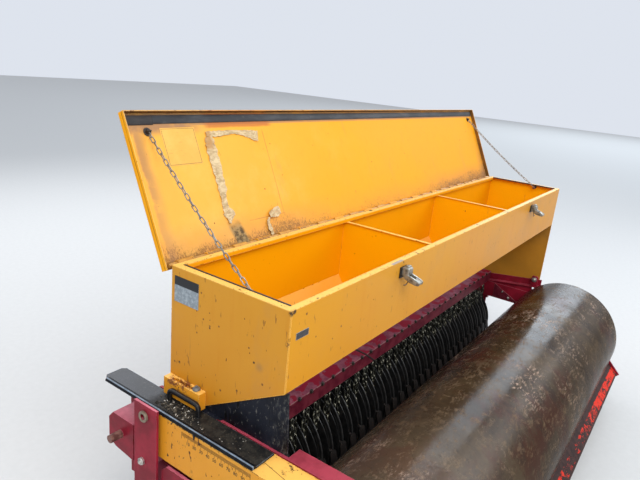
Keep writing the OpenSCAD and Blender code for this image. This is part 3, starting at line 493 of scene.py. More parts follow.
def roller_steel():
    """Wet brown steel: darker red-brown on top, olive and pale scratches below it."""
    m = Look("roller_skin")
    broad = m.noise(2.4, 7, 0.68, warp=0.5)
    fine = m.noise(22, 8, 0.78, (0.7, 1, 1), warp=0.8)
    crumb = m.noise(85, 6, 0.75, (0.45, 1, 1))
    m.color = m.mix(broad.steps(0.34, 0.66), (0.026, 0.016, 0.009), (0.07, 0.048, 0.026))
    m.over(m.noise(3.1, 6, 0.7, shift=(5, 1, 0)).steps(0.5, 0.62) * 0.8, (0.05, 0.013, 0.007))
    m.over(m.noise(8, 7, 0.72, shift=(2, 7, 1), warp=0.6).steps(0.5, 0.62) * 0.55, (0.022, 0.014, 0.01))
    x = m.x()
    m.over(x.steps(-0.4, -1.1, 0, 0.5), (0.11, 0.085, 0.06))
    rear = m.facing(REAR)
    # Painted shade: the rear-facing side is darkened and less mottled, standing for the dark ground it
    # reflects.
    m.over(rear.steps(0.45, 0.8, 0, 0.4), (0.03, 0.022, 0.017))
    mottle = fine.steps(0.48, 0.62) * crumb.steps(0.42, 0.6)
    mottle = mottle * rear.steps(0.4, 0.7, 1, 0.6)
    m.over(mottle * 0.8, (0.16, 0.105, 0.06))
    m.over(m.noise(48, 6, 0.75, shift=(4, 4, 1)).steps(0.42, 0.34) * 0.7, (0.014, 0.009, 0.006))
    where = m.noise(2.3, 4, 0.6, shift=(7, 3, 1)).steps(0.52, 0.66)
    flecks = m.noise(120, 4, 0.7, (0.3, 1, 1), (1, 5, 2))
    scratch = fine.steps(0.46, 0.56) * flecks.steps(0.52, 0.58) * where
    m.over(scratch * rear.steps(0.4, 0.8, 1, 0.45), (0.4, 0.28, 0.21))
    wet = m.noise(5, 6, 0.7, shift=(3, 3, 9)).steps(0.3, 0.7, 0.14, 0.3)
    rough = wet + (scratch | mottle) * 0.3
    normal = m.bump(fine, 0.1, 0.0016, m.bump(broad, 0.22, 0.009, 0.003))
    shine = rear.steps(0.5, 0.8, 0.09, 0.008) + x.steps(-0.5, -1.1, 0, 0.1)
    return m.finish(rough, normal, spec=shine)


def disc_steel():
    """Black discs; the left one of each pair has a pale worn rim and a pale inner ring, both painted as
    highlight lines.
    """
    m = Look("disc_skin")
    y = m.y(DISC_Y)
    z = m.z(DISC_Z)
    r = m.math("SQRT", y * y + z * z)
    turn = m.math("FRACT", m.x() / PITCH + 0.5)
    left = turn.steps(0.49, 0.51, 1, 0)
    # Painted highlight lines on the left disc of each pair: a pale rim, partly real wear, and a pale inner
    # ring.
    worn = r.steps(DISC_R - 0.008, DISC_R - 0.002) * (left * 0.7 + 0.1)
    inner = r.band(DISC_R - 0.0185, DISC_R - 0.0155, 0.0012) * (left * 0.5)
    ring = m.noise(60, 4, 0.6)
    m.color = m.mix(ring.steps(0.35, 0.7), (0.005, 0.005, 0.0055), (0.014, 0.014, 0.014))
    m.over(r.steps(DISC_R - 0.11, DISC_R - 0.02) * m.noise(30, 6, 0.75).steps(0.55, 0.7) * 0.3, SOIL)
    m.over((worn | inner) * ring.steps(0.3, 0.55, 0.5, 1), (0.06, 0.06, 0.06))
    return m.finish(ring.steps(0.3, 0.7, 0.34, 0.52), m.bump(ring, 0.15, 0.001), spec=0.4)


def grimy(name, color, rough=0.55, metal=0.0, scale=40.0, dirt=SOIL, cover=0.5, pale=None):
    """Bare or coated metal and rubber with grain, worn edges and dirt."""
    dark = tuple(c * 0.6 for c in color)
    m, grain = toned(name, (scale, 6, 0.65), 0.35, 0.7, dark, color)
    if pale:
        m.over(m.edges(0.002) * 0.7, pale)
    caked = m.noise(scale * 0.45, 7, 0.75, shift=(2, 5, 1)).steps(0.5, 0.75, 0, cover)
    m.over(caked, dirt)
    m.over(m.noise(scale * 5, 3, 0.6).steps(0.66, 0.7) * 0.35, DUST)
    normal = m.bump(caked, 0.4, 0.0012, m.bump(grain, 0.2, 0.0008, 0.0012))
    return m.finish(caked * 0.3 + rough, normal, metal)


def flap_rubber():
    """Black sheet cut into hanging slits, pale with dust along its rear edge."""
    m = Look("flap_rubber")
    y = m.y(WALL_Y)
    hang = m.noise(42, 5, 0.7, (1, 1, 0.16))
    m.color = m.mix(m.noise(8, 5, 0.6).steps(0.35, 0.7), (0.0025, 0.003, 0.006), (0.011, 0.013, 0.021))
    m.over(hang.steps(0.42, 0.38), (0.001, 0.001, 0.001))
    m.over(m.noise(110, 4, 0.7, (1, 1, 0.5), (3, 3, 3)).steps(0.6, 0.68) * 0.55, (0.2, 0.19, 0.17))
    rear = y.steps(0.06, -0.01) * m.noise(90, 6, 0.8, (1, 1, 0.5)).steps(0.48, 0.66)
    m.over(rear * 0.6, (0.13, 0.13, 0.12))
    return m.finish(0.5, m.bump(hang, 0.5, 0.0015, 0.001), spec=0.18)


def slider_coat():
    """Black plate: clean in front of the handle with a bluish tint as painted sky reflection, caked with
    dirt behind it, with pale blue edges as painted highlights.
    """
    m = Look("slider_coat")
    y = m.y(WALL_Y + 0.44)
    ragged = m.noise(30, 6, 0.75)
    rear = (y + ragged * 0.05).steps(-0.01, 0.045, 1, 0)
    dust = m.noise(140, 5, 0.7).steps(0.6, 0.7)
    # The bluish tint of the clean part is a painted sky reflection.
    clean = m.mix(m.noise(12, 5).steps(0.4, 0.7), (0.005, 0.0065, 0.011), (0.012, 0.015, 0.024))
    clean = m.mix(dust * 0.15, clean, DUST)
    caked = m.mix(ragged.steps(0.4, 0.65), (0.008, 0.008, 0.008), (0.03, 0.027, 0.022))
    caked = m.mix(dust * 0.3, caked, DUST)
    m.color = m.mix(rear, clean, caked)
    # Painted highlight along the edges.
    m.over(m.edges(0.0018) * 0.55, (0.25, 0.32, 0.42))
    rough = rear.steps(0, 1, 0.27, 0.55)
    return m.finish(rough, m.bump(ragged, 0.25, 0.001, 0.002), spec=0.2)


def zinc(name, scale=55, tones=((0.3, 0.29, 0.27), (0.55, 0.53, 0.49))):
    m = Look(name)
    m.color = m.mix(m.cells(scale).steps(0.1, 0.6), *tones)
    return m


def rusted(m, low, high, cover, tint):
    brown = m.noise(60, 6, 0.7).steps(low, high, 0, cover)
    m.over(brown, tint)
    return brown, m.bump(m.noise(150, 4), 0.2, 0.0005, 0.0008)


def zinc_plate(name="zinc", rust=0.7):
    m = zinc(name)
    brown, normal = rusted(m, 0.52, 0.66, rust, (0.14, 0.07, 0.035))
    return m.finish(brown * 0.4 + 0.36, normal, 0.75)


def scraper_coat():
    """Dark brown steel with torn flakes of red-orange paint on its outer half."""
    m, grain = toned("scraper_coat", (30, 6, 0.7), 0.35, 0.7, (0.022, 0.01, 0.009), (0.05, 0.024, 0.02))
    x = m.x()
    y = m.y(SCRAPER_Y)
    patch = m.noise(24, 7, 0.8, (1, 1.3, 1.3), (9, 0, 0), warp=0.6)
    amount = x.steps(0.2, 1.1, 0.01, 0.11)
    left = (patch + amount).steps(0.56, 0.575)
    out = (y + grain * 0.012).band(-0.02, 0.008, 0.003)
    face = m.facing(UP).steps(0.2, 0.5)
    left = left * (out * face)
    m.over(left, (0.6, 0.024, 0.008))
    m.over(m.edges(0.002) * 0.5, (0.22, 0.1, 0.08))
    return m.finish(0.55, m.bump(left, 0.4, 0.0008, m.bump(grain, 0.25, 0.001, 0.002)), spec=0.1)


def crinkled_tape():
    m = Look("crinkled_tape")
    fold = m.noise(60, 6, 0.7, (0.5, 1.6, 1.6), warp=0.5)
    m.color = m.mix(fold.steps(0.35, 0.6), (0.36, 0.25, 0.12), (0.6, 0.47, 0.27))
    m.over(m.noise(110, 4).steps(0.58, 0.68, 0, 0.5), (0.3, 0.19, 0.09))
    corner = m.along(LID_ALONG, HINGE).steps(0.322, 0.337) * m.x().steps(-1.0, -1.02)
    m.over(corner * fold.steps(0.3, 0.6, 0.3, 0.9), (0.4, 0.2, 0.06))
    return m.finish(0.62, m.bump(fold, 0.35, 0.0015), spec=0.2)


def plate_finish(name, color, rough):
    dark = tuple(c * 0.65 for c in color)
    m, wear = toned(name, (80, 5, 0.65), 0.4, 0.7, dark, color)
    return m.finish(rough, m.bump(wear, 0.15, 0.0003), metal=0.3)


def plates_finish():
    """Two bare plates: silver with a black head on the end plate, dark with a pale edge on the wall."""
    m = Look("bare_plates")
    wear = m.noise(80, 5, 0.65)
    silver = m.mix(wear.steps(0.4, 0.7), (0.2, 0.235, 0.26), (0.36, 0.41, 0.45))
    head = m.z().steps(PLATE_HEAD_Z - 0.0005, PLATE_HEAD_Z + 0.0005)
    silver = m.mix(head, silver, (0.005, 0.006, 0.009))
    rear = m.facing(REAR).steps(0.3, 0.7)
    dark = m.mix(wear.steps(0.4, 0.65), (0.016, 0.018, 0.022), (0.045, 0.045, 0.05))
    dark = m.mix(m.edges(0.0022) * 0.8, dark, (0.4, 0.4, 0.38))
    m.color = m.mix(rear, silver, dark)
    return m.finish(0.35, m.bump(wear, 0.12, 0.0003), metal=0.1)


def latch_metal():
    """Zinc lever on a blackened base, with a rusty hook below."""
    m = zinc("latch_metal", 70, ((0.11, 0.11, 0.09), (0.3, 0.29, 0.25)))
    brown, normal = rusted(m, 0.5, 0.64, 0.6, (0.12, 0.06, 0.03))
    y = m.y(WALL_Y)
    m.over(y.steps(-0.0065, -0.005) * 0.92, (0.014, 0.012, 0.011))
    m.over(m.z().steps(1.121, 1.128, 1, 0) * y.steps(-0.034, -0.028) * 0.8, (0.13, 0.06, 0.025))
    return m.finish(brown * 0.5 + 0.36, normal, 0.55)


def label_film():
    m, fade = toned("label_film", (12, 4, 0.6), 0.35, 0.7, (0.66, 0.36, 0.06), (0.74, 0.41, 0.085))
    m.over(m.noise(150, 3, 0.6, (0.25, 1, 1)).steps(0.6, 0.7, 0, 0.25), (0.3, 0.15, 0.04))
    return m.finish(0.45, spec=0.2)


def hinge_paint():
    # Painted shade: the hinge leaves are a darker copy of the yellow paint, toning down the light on their
    # upward faces.
    m, grain = toned("hinge_paint", (40, 5, 0.65), 0.35, 0.65, (0.45, 0.2, 0.03), (0.52, 0.25, 0.04))
    m.over(m.noise(60, 5, 0.7, shift=(1, 1, 1)).steps(0.6, 0.68), RUST)
    return m.finish(0.45, m.round_edges(0.001), spec=0.2)


def seal_rubber():
    """Worn strip: violet-brown first length, grey-black beyond its joint."""
    m = Look("seal_rubber")
    x = m.x()
    worn = m.noise(22, 6, 0.7, (0.25, 1, 1))
    far = m.mix(worn.steps(0.4, 0.7), (0.012, 0.013, 0.016), (0.05, 0.052, 0.056))
    near = m.mix(worn.steps(0.4, 0.7), (0.014, 0.012, 0.012), (0.045, 0.036, 0.034))
    m.color = m.mix(x.steps(SEAL_JOINT - 0.001, SEAL_JOINT + 0.001), near, far)
    m.over(m.noise(45, 6, 0.75, (0.5, 1, 1), (2, 1, 0)).steps(0.6, 0.72, 0, 0.5), (0.17, 0.15, 0.13))
    return m.finish(0.5, m.bump(worn, 0.25, 0.001, 0.001), spec=0.35)


def link_coat():
    """Black greasy links with painted pale highlights on their upper sides."""
    m, grime = toned("link_coat", (75, 6, 0.7), 0.35, 0.65, (0.008, 0.008, 0.006), (0.03, 0.03, 0.022))
    # Painted highlight: pale dashes on the links' upper sides.
    bare = m.noise(38, 3, 0.6, shift=(1, 2, 3)).steps(0.44, 0.56)
    m.over(m.facing((0, -0.5, 0.86)).steps(0.3, 0.85) * bare, (0.36, 0.35, 0.27))
    return m.finish(0.4, m.bump(grime, 0.3, 0.0008), metal=0.3, spec=0.3)


def crumb_coat():
    """Bits of bark, straw and grit, from dark to nearly white."""
    m, pick = toned("crumbs", (90, 2, 0.5), 0.42, 0.5, (0.018, 0.015, 0.012), (0.09, 0.075, 0.055))
    m.over(pick.steps(0.6, 0.64), (0.5, 0.47, 0.42))
    return m.finish(0.8, m.bump(m.noise(300, 4), 0.3, 0.0006), spec=0.2)


def lip_coat():
    """Black, with a patchy blue-grey painted highlight line along the top."""
    m = Look("lip_coat")
    worn = m.noise(60, 6, 0.75)
    # Painted highlight along the top of the lip.
    line = m.x().band(*LIP_HIGHLIGHT, 0.0014)
    top = line * worn.steps(0.3, 0.6, 0.45, 1)
    m.color = m.mix(worn.steps(0.4, 0.7), (0.003, 0.0035, 0.005), (0.01, 0.011, 0.014))
    m.over(top, (0.19, 0.24, 0.3))
    return m.finish(0.4, m.bump(worn, 0.15, 0.0006), spec=0.15)


LOOKS = {
    "hopper": hopper_paint(),
    "lid": lid_paint(),
    "trim": trim_paint(),
    "panel": panel_paint(),
    "red": red_paint(),
    "beam": beam_paint(),
    "roller": roller_steel(),
    "disc": disc_steel(),
    "soiled": grimy("soiled_steel", (0.06, 0.035, 0.026), 0.6, 0.2, cover=0.7),
    "bearing": grimy("bearing_cast", (0.03, 0.03, 0.032), 0.55, 0.1),
    "zinc": zinc_plate(),
    "rubber": grimy("strip_rubber", (0.012, 0.012, 0.014), 0.5, scale=30, cover=0.3),
    "tube": grimy("tube_rubber", (0.014, 0.014, 0.015), 0.6, scale=70),
    "flap": flap_rubber(),
    "slider": slider_coat(),
    "handle": grimy("handle_coat", (0.008, 0.008, 0.009), 0.34, pale=(0.09, 0.09, 0.09), cover=0.2),
    "lip": lip_coat(),
    "scraper": scraper_coat(),
    "tape": crinkled_tape(),
    "plate": plates_finish(),
    "latch": latch_metal(),
    "link": link_coat(),
    "bolt": grimy("bolt_steel", (0.012, 0.01, 0.009), 0.4, 0.4, scale=120, pale=(0.12, 0.1, 0.08)),
    "bright_bolt": zinc_plate("bright_bolt", 0.2),
    "chain": grimy("chain_zinc", (0.4, 0.36, 0.3), 0.4, 0.55, 45, (0.06, 0.035, 0.02), 0.95),
    "rod": grimy("rod_paint", (0.5, 0.24, 0.04), 0.5, 0.0, 30, (0.3, 0.15, 0.04), 0.7),
    "dark_eye": grimy("dark_eye", (0.045, 0.035, 0.03), 0.5, 0.3, 90, cover=0.4),
    "tail": grimy("tail_paint", (0.012, 0.007, 0.006), 0.75, 0.0, 40, (0.05, 0.034, 0.022), 0.75),
    "bare_label": label_film(),
    "hinge": hinge_paint(),
    "seal": seal_rubber(),
    "knob": grimy("knob_grey", (0.2, 0.2, 0.2), 0.5, 0.2, scale=90, cover=0.3),
    "bushing": grimy("bushing_steel", (0.3, 0.24, 0.17), 0.45, 0.4, scale=120, cover=0.3),
    "ink": plate_finish("scale_ink", (0.025, 0.018, 0.01), 0.5),
    "crumb": crumb_coat(),
}

NODE_LOOKS = {
    "hopper": "hopper_shell hopper_end_left hopper_end_right partitions",
    "hinge": "hinge_leaves",
    "lid": "lid",
    "trim": "drive_cover chain_case adjuster_box",
    "panel": "side_panel_right",
    "beam": "chain_beam",
    "roller": "roller_drum",
    "disc": "discs",
    "soiled": "element_arms pivot_bar roller_ends element_chains",
    "rod": "hinge_rod",
    "bearing": "roller_bearings",
    "latch": "latch_left latch_right",
    "zinc": "lower_link_pins stay_chains",
    "plate": "blank_plates",
    "rubber": "lid_seal",
    "tube": "seed_tubes",
    "flap": "side_flap_left",
    "slider": "rate_slider",
    "handle": "slider_handle",
    "scraper": "scraper_bar",
}


def dress_frame():
    """Gives each node of the frame its look; what isn't named is red."""
    chosen = {node: look for look, nodes in NODE_LOOKS.items() for node in nodes.split()}
    for name, obj in frame["nodes"].items():
        obj.data.materials.clear()
        obj.data.materials.append(LOOKS[chosen.get(name, "red")])


ROW_X = [(i - (ROWS - 1) / 2) * PITCH for i in range(ROWS)]


def at(x, y, z):
    """A point in millimetres from the machine's middle, the hopper's rear wall and the ground."""
    return Vector((x * MM, WALL_Y + y * MM, z * MM))


def on_lid(x, up, out):
    """A point on the open lid, in metres from its middle, its hinge and its under side."""
    return HINGE + LID_ALONG * up + LID_OUT * (LID_UNDER + out) + Vector((x, 0, 0))


def circle(mid, u, v, r, sides, turn=0.0):
    """Points round a middle, in the plane of u and v."""
    angles = [turn + math.tau * i / sides for i in range(sides)]
    return [mid + (u * math.cos(a) + v * math.sin(a)) * r for a in angles]


class Stock:
    """The mesh of one piece, put together from formed shapes."""

    def __init__(self, name):
        self.name = name
        self.bm = bmesh.new()

    def skin(self, rings, joined=False):
        """Faces between rings of points, closed at the ends or into a loop."""
        rows = [[self.bm.verts.new(p) for p in ring] for ring in rings]
        pairs = list(zip(rows, rows[1:]))
        if joined:
            pairs.append((rows[-1], rows[0]))
        else:
            self.bm.faces.new(rows[0][::-1])
            self.bm.faces.new(rows[-1])
        for a, b in pairs:
            for i, p in enumerate(a):
                j = (i + 1) % len(a)
                self.bm.faces.new((p, a[j], b[j], b[i]))
        return rows

    def turned(self, profile, place, axis, sides=20, turn=0.0):
        """A body turned about an axis, from pairs of distance along it and radius."""
        axis = Vector(axis).normalized()
        u = axis.orthogonal().normalized()
        v = axis.cross(u)
        self.skin([circle(Vector(place) + axis * s, u, v, r, sides, turn) for s, r in profile])

    def bolt(self, place, axis, size, washer=True):
        """A hexagon head on a washer."""
        r = size * 0.58
        low = size * 0.12 if washer else 0.0
        if washer:
            self.turned([(0, size * 0.95), (low * 0.7, size * 0.95), (low, size * 0.85)], place, axis, 16)
        head = ((0, r * 0.97), (0.06, r), (0.5, r), (0.58, r * 0.86))
        self.turned([(low + size * s, wide) for s, wide in head], place, axis, 6, 0.3)
        end = ((0.55, 0.3), (0.72, 0.3), (0.78, 0.24))
        self.turned([(low + size * s, size * wide) for s, wide in end], place, axis, 10)

    def prism(self, outline, push, bevel=0.0):
        """A flat outline pushed through a thickness, with rounded edges."""
        low = [Vector(p) for p in outline]
        rows = self.skin([low, [p + Vector(push) for p in low]])
        if bevel:
            rim = {e for v in rows[0] + rows[1] for e in v.link_edges}
            bmesh.ops.bevel(self.bm, geom=list(rim), offset=bevel, segments=2, affect="EDGES", profile=0.5)

    def upright(self, x, outline, thick, bevel=0.0):
        """A plate pushed sideways; the outline gives y and z as for at."""
        self.prism([at(x, y, z) for y, z in outline], (thick, 0, 0), bevel)

    def lying(self, outline, z, thick, bevel):
        """A plate pushed upwards; the outline gives x and y as for at."""
        self.prism([at(x, y, z) for x, y in outline], (0, 0, thick), bevel)

    def block(self, lo, hi, bevel=0.0):
        base = [(lo[0], lo[1], lo[2]), (hi[0], lo[1], lo[2]), (hi[0], hi[1], lo[2]), (lo[0], hi[1], lo[2])]
        self.prism(base, (0, 0, hi[2] - lo[2]), bevel)

    def tube(self, points, r, sides=8, joined=False, flat=None):
        """A round bar bent along points that lie in the plane with the normal flat."""
        n = len(points)
        side = Vector(flat).normalized()
        rings = []
        for i, p in enumerate(points):
            after = points[(i + 1) % n] if joined or i < n - 1 else p
            before = points[i - 1] if joined or i else p
            ahead = (after - before).normalized()
            u = (side - ahead * side.dot(ahead)).normalized()
            rings.append(circle(p, u, ahead.cross(u), r, sides))
        self.skin(rings, joined)

    def link(self, mid, along, across, length, width, wire):
        """One welded chain link."""
        along = Vector(along).normalized()
        across = (Vector(across) - along * along.dot(Vector(across))).normalized()
        bend = (width - wire) / 2
        straight = (length - width) / 2
        path = []
        steps = 14
        for i in range(steps):
            a = math.tau * (i + 0.5) / steps
            shift = math.copysign(straight, math.sin(a))
            path.append(mid + along * (shift + bend * math.sin(a)) + across * bend * math.cos(a))
        self.tube(path, wire / 2, 5, True, along.cross(across))

    def strand(self, points, pitch, width, wire, turn, slack, rng):
        """A chain laid along points, each link a quarter turn from the last."""
        lengths = [(b - a).length for a, b in zip(points, points[1:])]
        whole = sum(lengths)
        count = max(2, round(whole / pitch))
        for i in range(count):
            s = (i + 0.5) / count * whole
            k = 0
            while k < len(lengths) - 1 and s > lengths[k]:
                s -= lengths[k]
                k += 1
            ahead = (points[k + 1] - points[k]).normalized()
            u = ahead.orthogonal().normalized()
            v = ahead.cross(u)
            angle = turn + (i % 2) * math.pi / 2 + rng.uniform(-slack, slack)
            lean = (u * rng.uniform(-1, 1) + v * rng.uniform(-1, 1)) * slack * 0.25
            across = u * math.cos(angle) + v * math.sin(angle)
            self.link(points[k] + ahead * s, ahead + lean, across, whole / count + 2 * wire, width, wire)

    def done(self, look, body="frame", smooth=38, replaces=()):
        """Turns the shapes into a piece that rides on a body."""
        bmesh.ops.recalc_face_normals(self.bm, faces=self.bm.faces)
        mesh = bpy.data.meshes.new(self.name)
        self.bm.to_mesh(mesh)
        self.bm.free()
        mesh.shade_smooth()
        mesh.set_sharp_from_angle(angle=math.radians(smooth))
        mesh.materials.append(LOOKS[look])
        piece = placed(self.name, mesh)
        if body:
            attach(piece, body)
        if replaces:
            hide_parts(*replaces)
        return piece


def placed(name, data):
    obj = bpy.data.objects.new(name, data)
    bpy.context.scene.collection.objects.link(obj)
    return obj


def make_element_links():
    """Two hanging chains a row."""
    lo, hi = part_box("element_chains")
    y = (lo[1] + hi[1]) / 2
    rng = random.Random(7)
    chains = Stock("element_links")
    for x in ROW_X:
        for side in (-1, 1):
            bow = rng.uniform(-0.003, 0.003)
            top = Vector((x + side * 0.012, y, hi[2] - 0.012))
            mid = Vector((x + side * 0.0125 + bow, y + rng.uniform(-0.004, 0.002), (lo[2] + hi[2]) / 2))
            foot = Vector((x + side * 0.012, y, lo[2] + 0.012))
            chains.strand([top, mid, foot], 0.0262, 0.0185, 0.0054, rng.uniform(0.4, 1.2), 0.3, rng)
    chains.done("link", replaces=("element_chains",))


def make_stay_links():
    """The two chains that hold the lid open, with their screw eyes."""
    rng = random.Random(3)
    eyes = Stock("stay_eyes_rim")
    tops = Stock("stay_eyes_lid")
    chains = Stock("stay_links")
    rim = at(1295.5, 141.6, 1172)
    head = on_lid(1.2549, 0.3947, -0.0047)
    post = [(0, 0.007), (0.003, 0.007), (0.0032, 0.003), (0.018, 0.003), (0.019, 0.002)]
    for side in (-1, 1):
        a = Vector((side * rim.x, rim.y, rim.z))
        b = Vector((side * head.x, head.y, head.z))
        sag = [(t / 12, Vector((0, 0, -0.05 * t / 12 * (1 - t / 12)))) for t in range(13)]
        chains.strand([a.lerp(b, t) + drop for t, drop in sag], 0.0215, 0.0135, 0.0036, 0.5, 0.2, rng)
        eyes.link(a + Vector((0, 0, -0.004)), (side, 0, 0.3), AHEAD, 0.03, 0.02, 0.005)
        eyes.turned(post, a + Vector((side * 0.0225, 0, 0)), (-side, 0, 0), 12)
        tops.link(b, LID_OUT, RIGHT, 0.026, 0.02, 0.005)
        tops.bolt(b + LID_OUT * 0.004, -LID_OUT, 0.014)
    links = chains.done("chain", None, replaces=("stay_chains",))
    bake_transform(links)
    eyes.done("dark_eye")
    tops.done("dark_eye", "lid")


def make_beam_bolts():
    """A bolt for each row along the fold of the chain beam, and the strip over its joint."""
    bolts = Stock("beam_bolts")
    for x in ROW_X:
        place = Vector((x + 0.021, BEAM_LOW.y + 0.0005, 0.5615))
        if abs(place.x) < BEAM_HIGH.x - 0.02:
            bolts.bolt(place, (0, -1, 0.25), 0.0105)
    bolts.done("bolt")
    seam = Stock("beam_seam")
    top = BEAM_HIGH.z / MM
    seam.lying([(-327, 313), (-315, 313), (-303, 432), (-315, 432)], top - 0.2, 0.0016, 0.0003)
    web = [(-327, top), (-315, top), (-229, BEAM_LOW.z / MM), (-241, BEAM_LOW.z / MM)]
    seam.prism([at(x, 313.2, z) for x, z in web], (0, -0.0016, 0), 0.0003)
    seam.done("tail")


def make_tail_flaps():
    """A short steel flap on a bar between neighbouring disc pairs, just above the roller."""
    rng = random.Random(5)
    flaps = Stock("tail_flaps")
    half = ((0, 0.013), (0.006, 0.019), (0.055, 0.021), (0.066, 0.014))
    hold = at(0, 245, 268)
    for x in [(a + b) / 2 for a, b in zip(ROW_X, ROW_X[1:])]:
        lean = rng.uniform(-0.004, 0.004)
        top, foot = at(0, 243, 278), at(0, 224 + lean / MM, 212)
        ahead = (top - foot).normalized()
        sides = [(u, x + w) for u, w in half] + [(u, x - w) for u, w in half[::-1]]
        outline = [foot + ahead * u + Vector((w, 0, 0)) for u, w in sides]
        flaps.prism(outline, Vector((0, -ahead.z, ahead.y)) * 0.003, 0.0006)
        flaps.block(hold + Vector((x - 0.006, 0, 0)), hold + Vector((x + 0.006, 0.09, 0.006)), 0.001)
    flaps.done("tail")


def make_lid_seal():
    """The lid's rubber strip in two lengths, the first one wider."""
    reach = (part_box("lid_seal")[1][2] - HINGE.z) / LID_ALONG.z
    seal = Stock("seal_strip")
    lengths = ((-HALF, SEAL_JOINT, 0.0285, 0.0042), (SEAL_JOINT + 0.001, HALF, 0.026, 0.0036))
    for x0, x1, wide, thick in lengths:
        profile = [(reach, 0.0002), (reach, thick), (reach - 0.003, thick + 0.0008),
                   (reach - wide + 0.004, thick), (reach - wide, thick * 0.5), (reach - wide, 0.0002)]
        seal.skin([[on_lid(x, up, -out) for up, out in profile] for x in (x0, (x0 + x1) / 2, x1)])
    seal.done("seal", "lid", replaces=("lid_seal",))


def make_flap_hem():
    """The flap's folded hem on top of the left side plate, ending in a point."""
    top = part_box("side_plate_left")[1][2] / MM
    hem = Stock("flap_hem")
    outline = [(-1333, 424), (-1333, 232), (-1328, 213), (-1320, 209), (-1319.5, 424)]
    hem.lying(outline, top + 0.1, 0.002, 0.0005)
    hem.done("flap")


def make_bare_label():
    """A bare sheet on the lid's inner side, with a thin line round it."""
    x0, x1, low, high = -1.207, -1.072, 0.286, 0.405
    wide = 0.0009
    label = Stock("bare_label")
    corners = [(x0, high), (x1, high), (x1, low), (x0, low)]
    label.prism([on_lid(x, up, -0.0001) for x, up in corners], LID_OUT * -0.0004)
    label.done("bare_label", "lid")
    line = Stock("label_line")
    mid = Vector(((x0 + x1) / 2, (low + high) / 2))
    for a, b, c, d in ((x0, low, x0 + wide, high), (x1 - wide, low, x1, high),
                       (x0, low, x1, low + wide), (x0, high - wide, x1, high)):
        quad = [mid + (Vector(q) - mid) * 0.95 for q in ((a, b), (c, b), (c, d), (a, d))]
        line.prism([on_lid(q.x, q.y, -0.0004) for q in quad], LID_OUT * -0.0003)
    line.done("ink", "lid")


def crinkled_strip(stock, points, rise, curl):
    """A torn strip on the lid, from points of x, distance from the hinge and half width."""
    steps, across, thick = 14, 4, 0.0009
    spine = [Vector(p) for p in points]
    rows = [a.lerp(b, i / steps) for a, b in zip(spine, spine[1:]) for i in range(steps)] + spine[-1:]
    last = len(rows) - 1
    rings = []
    for i, p in enumerate(rows):
        q = rows[min(i + 1, last)] - rows[max(i - 1, 0)]
        side = Vector((-q.y, q.x, 0)).normalized()
        ragged = 1 + 0.35 * noise.noise(Vector((i * 0.31, 3.1, points[0][0] * 9)))
        end = max(0.0, i / last - 0.86) / 0.14
        line = []
        for j in range(2 * across + 1):
            flat = p + side * p.z * ((j / across - 1) * ragged)
            lift = noise.noise(Vector((flat.x * 70, flat.y * 70, 1.7))) + 0.6
            line.append(on_lid(flat.x, flat.y, -(0.0012 + rise * max(0.0, lift) + curl * end * end)))
        rings.append(line + [v + LID_OUT * thick for v in line[::-1]])
    stock.skin(rings)


def make_tape():
    """Remains of adhesive tape and a torn tuft inside the lid."""
    tape = Stock("torn_tape")
    strips = (
        (0.003, 0.008, ((-1.03, 0.38, 0.008), (-0.99, 0.379, 0.01), (-0.9, 0.3835, 0.006),
                        (-0.85, 0.377, 0.011), (-0.815, 0.37, 0.017), (-0.792, 0.363, 0.021))),
        (0.003, 0, ((-1.02, 0.37, 0.015), (-1.022, 0.34, 0.021), (-1.021, 0.27, 0.0205),
                    (-1.022, 0.2, 0.018), (-1.03, 0.145, 0.011), (-1.028, 0.125, 0.016),
                    (-1.022, 0.112, 0.024), (-1.028, 0.08, 0.005))),
        (0.009, 0, ((-0.776, 0.09, 0.014), (-0.797, 0.084, 0.018),
                    (-0.825, 0.08, 0.013), (-0.84, 0.076, 0.007))),
        (0.006, 0, ((-0.842, 0.07, 0.005), (-0.853, 0.05, 0.007),
                    (-0.848, 0.03, 0.01), (-0.842, 0.008, 0.006))),
    )
    for rise, curl, points in strips:
        crinkled_strip(tape, points, rise, curl)
    tape.done("tape", "lid", 60)


def make_scale():
    """Ticks and plain numbers of the rate scale on the side of the drive cover."""
    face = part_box("drive_cover")[0][0]
    scale = Stock("rate_scale")
    first, tick, ticks_top = 268, 2.54, 767
    for i in range(101):
        size = 21 if i % 10 == 0 else 15 if i % 5 == 0 else 11
        low = Vector((face - 0.0003, at(0, first - tick * i, 0).y, (ticks_top - size) * MM))
        scale.block(low, low + Vector((0.0004, 0.0009, size * MM)))
    for k in range(1, 10):
        curve = bpy.data.curves.new("digits", "FONT")
        curve.body = str(k * 10)
        curve.size = 0.0145
        curve.align_x = "CENTER"
        curve.extrude = 0.0002
        holder = placed("digits", curve)
        bpy.context.view_layer.update()
        digits = bpy.data.meshes.new_from_object(holder)
        place = Vector((face - 0.0001, at(0, first - tick * 10 * k, 0).y, 0.7355))
        turn = Matrix(((0, 0, -1), (-1, 0, 0), (0, 1, 0))).to_4x4()
        digits.transform(Matrix.Translation(place) @ turn)
        scale.bm.from_mesh(digits)
        bpy.data.objects.remove(holder)
        bpy.data.curves.remove(curve)
        bpy.data.meshes.remove(digits)
    scale.done("ink")


def make_slider_trim():
    """The slider's thick outer lip, with the pointer that hangs from it over the cover's side."""
    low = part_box("drive_cover")[1][2] / MM
    profile = [(-1404.3, 6.2), (-1404.3, 9), (-1408, 10.5), (-1410, 12), (-1416, 12.5), (-1419.5, 10.5),
               (-1421.6, 7.5), (-1421.8, 4.4), (-1420.8, 3.2), (-1408.8, 3)]
    trim = Stock("slider_lip")
    trim.skin([[at(x, y, low + z) for x, z in profile] for y in (9.5, 11, 250, 520, 612)])
    pointer = [(213, 8), (222.5, 8), (221, 0), (219, -10), (216, -10), (214.5, 0)]
    trim.upright(-1421.6, [(y, low + z) for y, z in pointer], -0.0014, 0.0003)
    trim.done("lip")


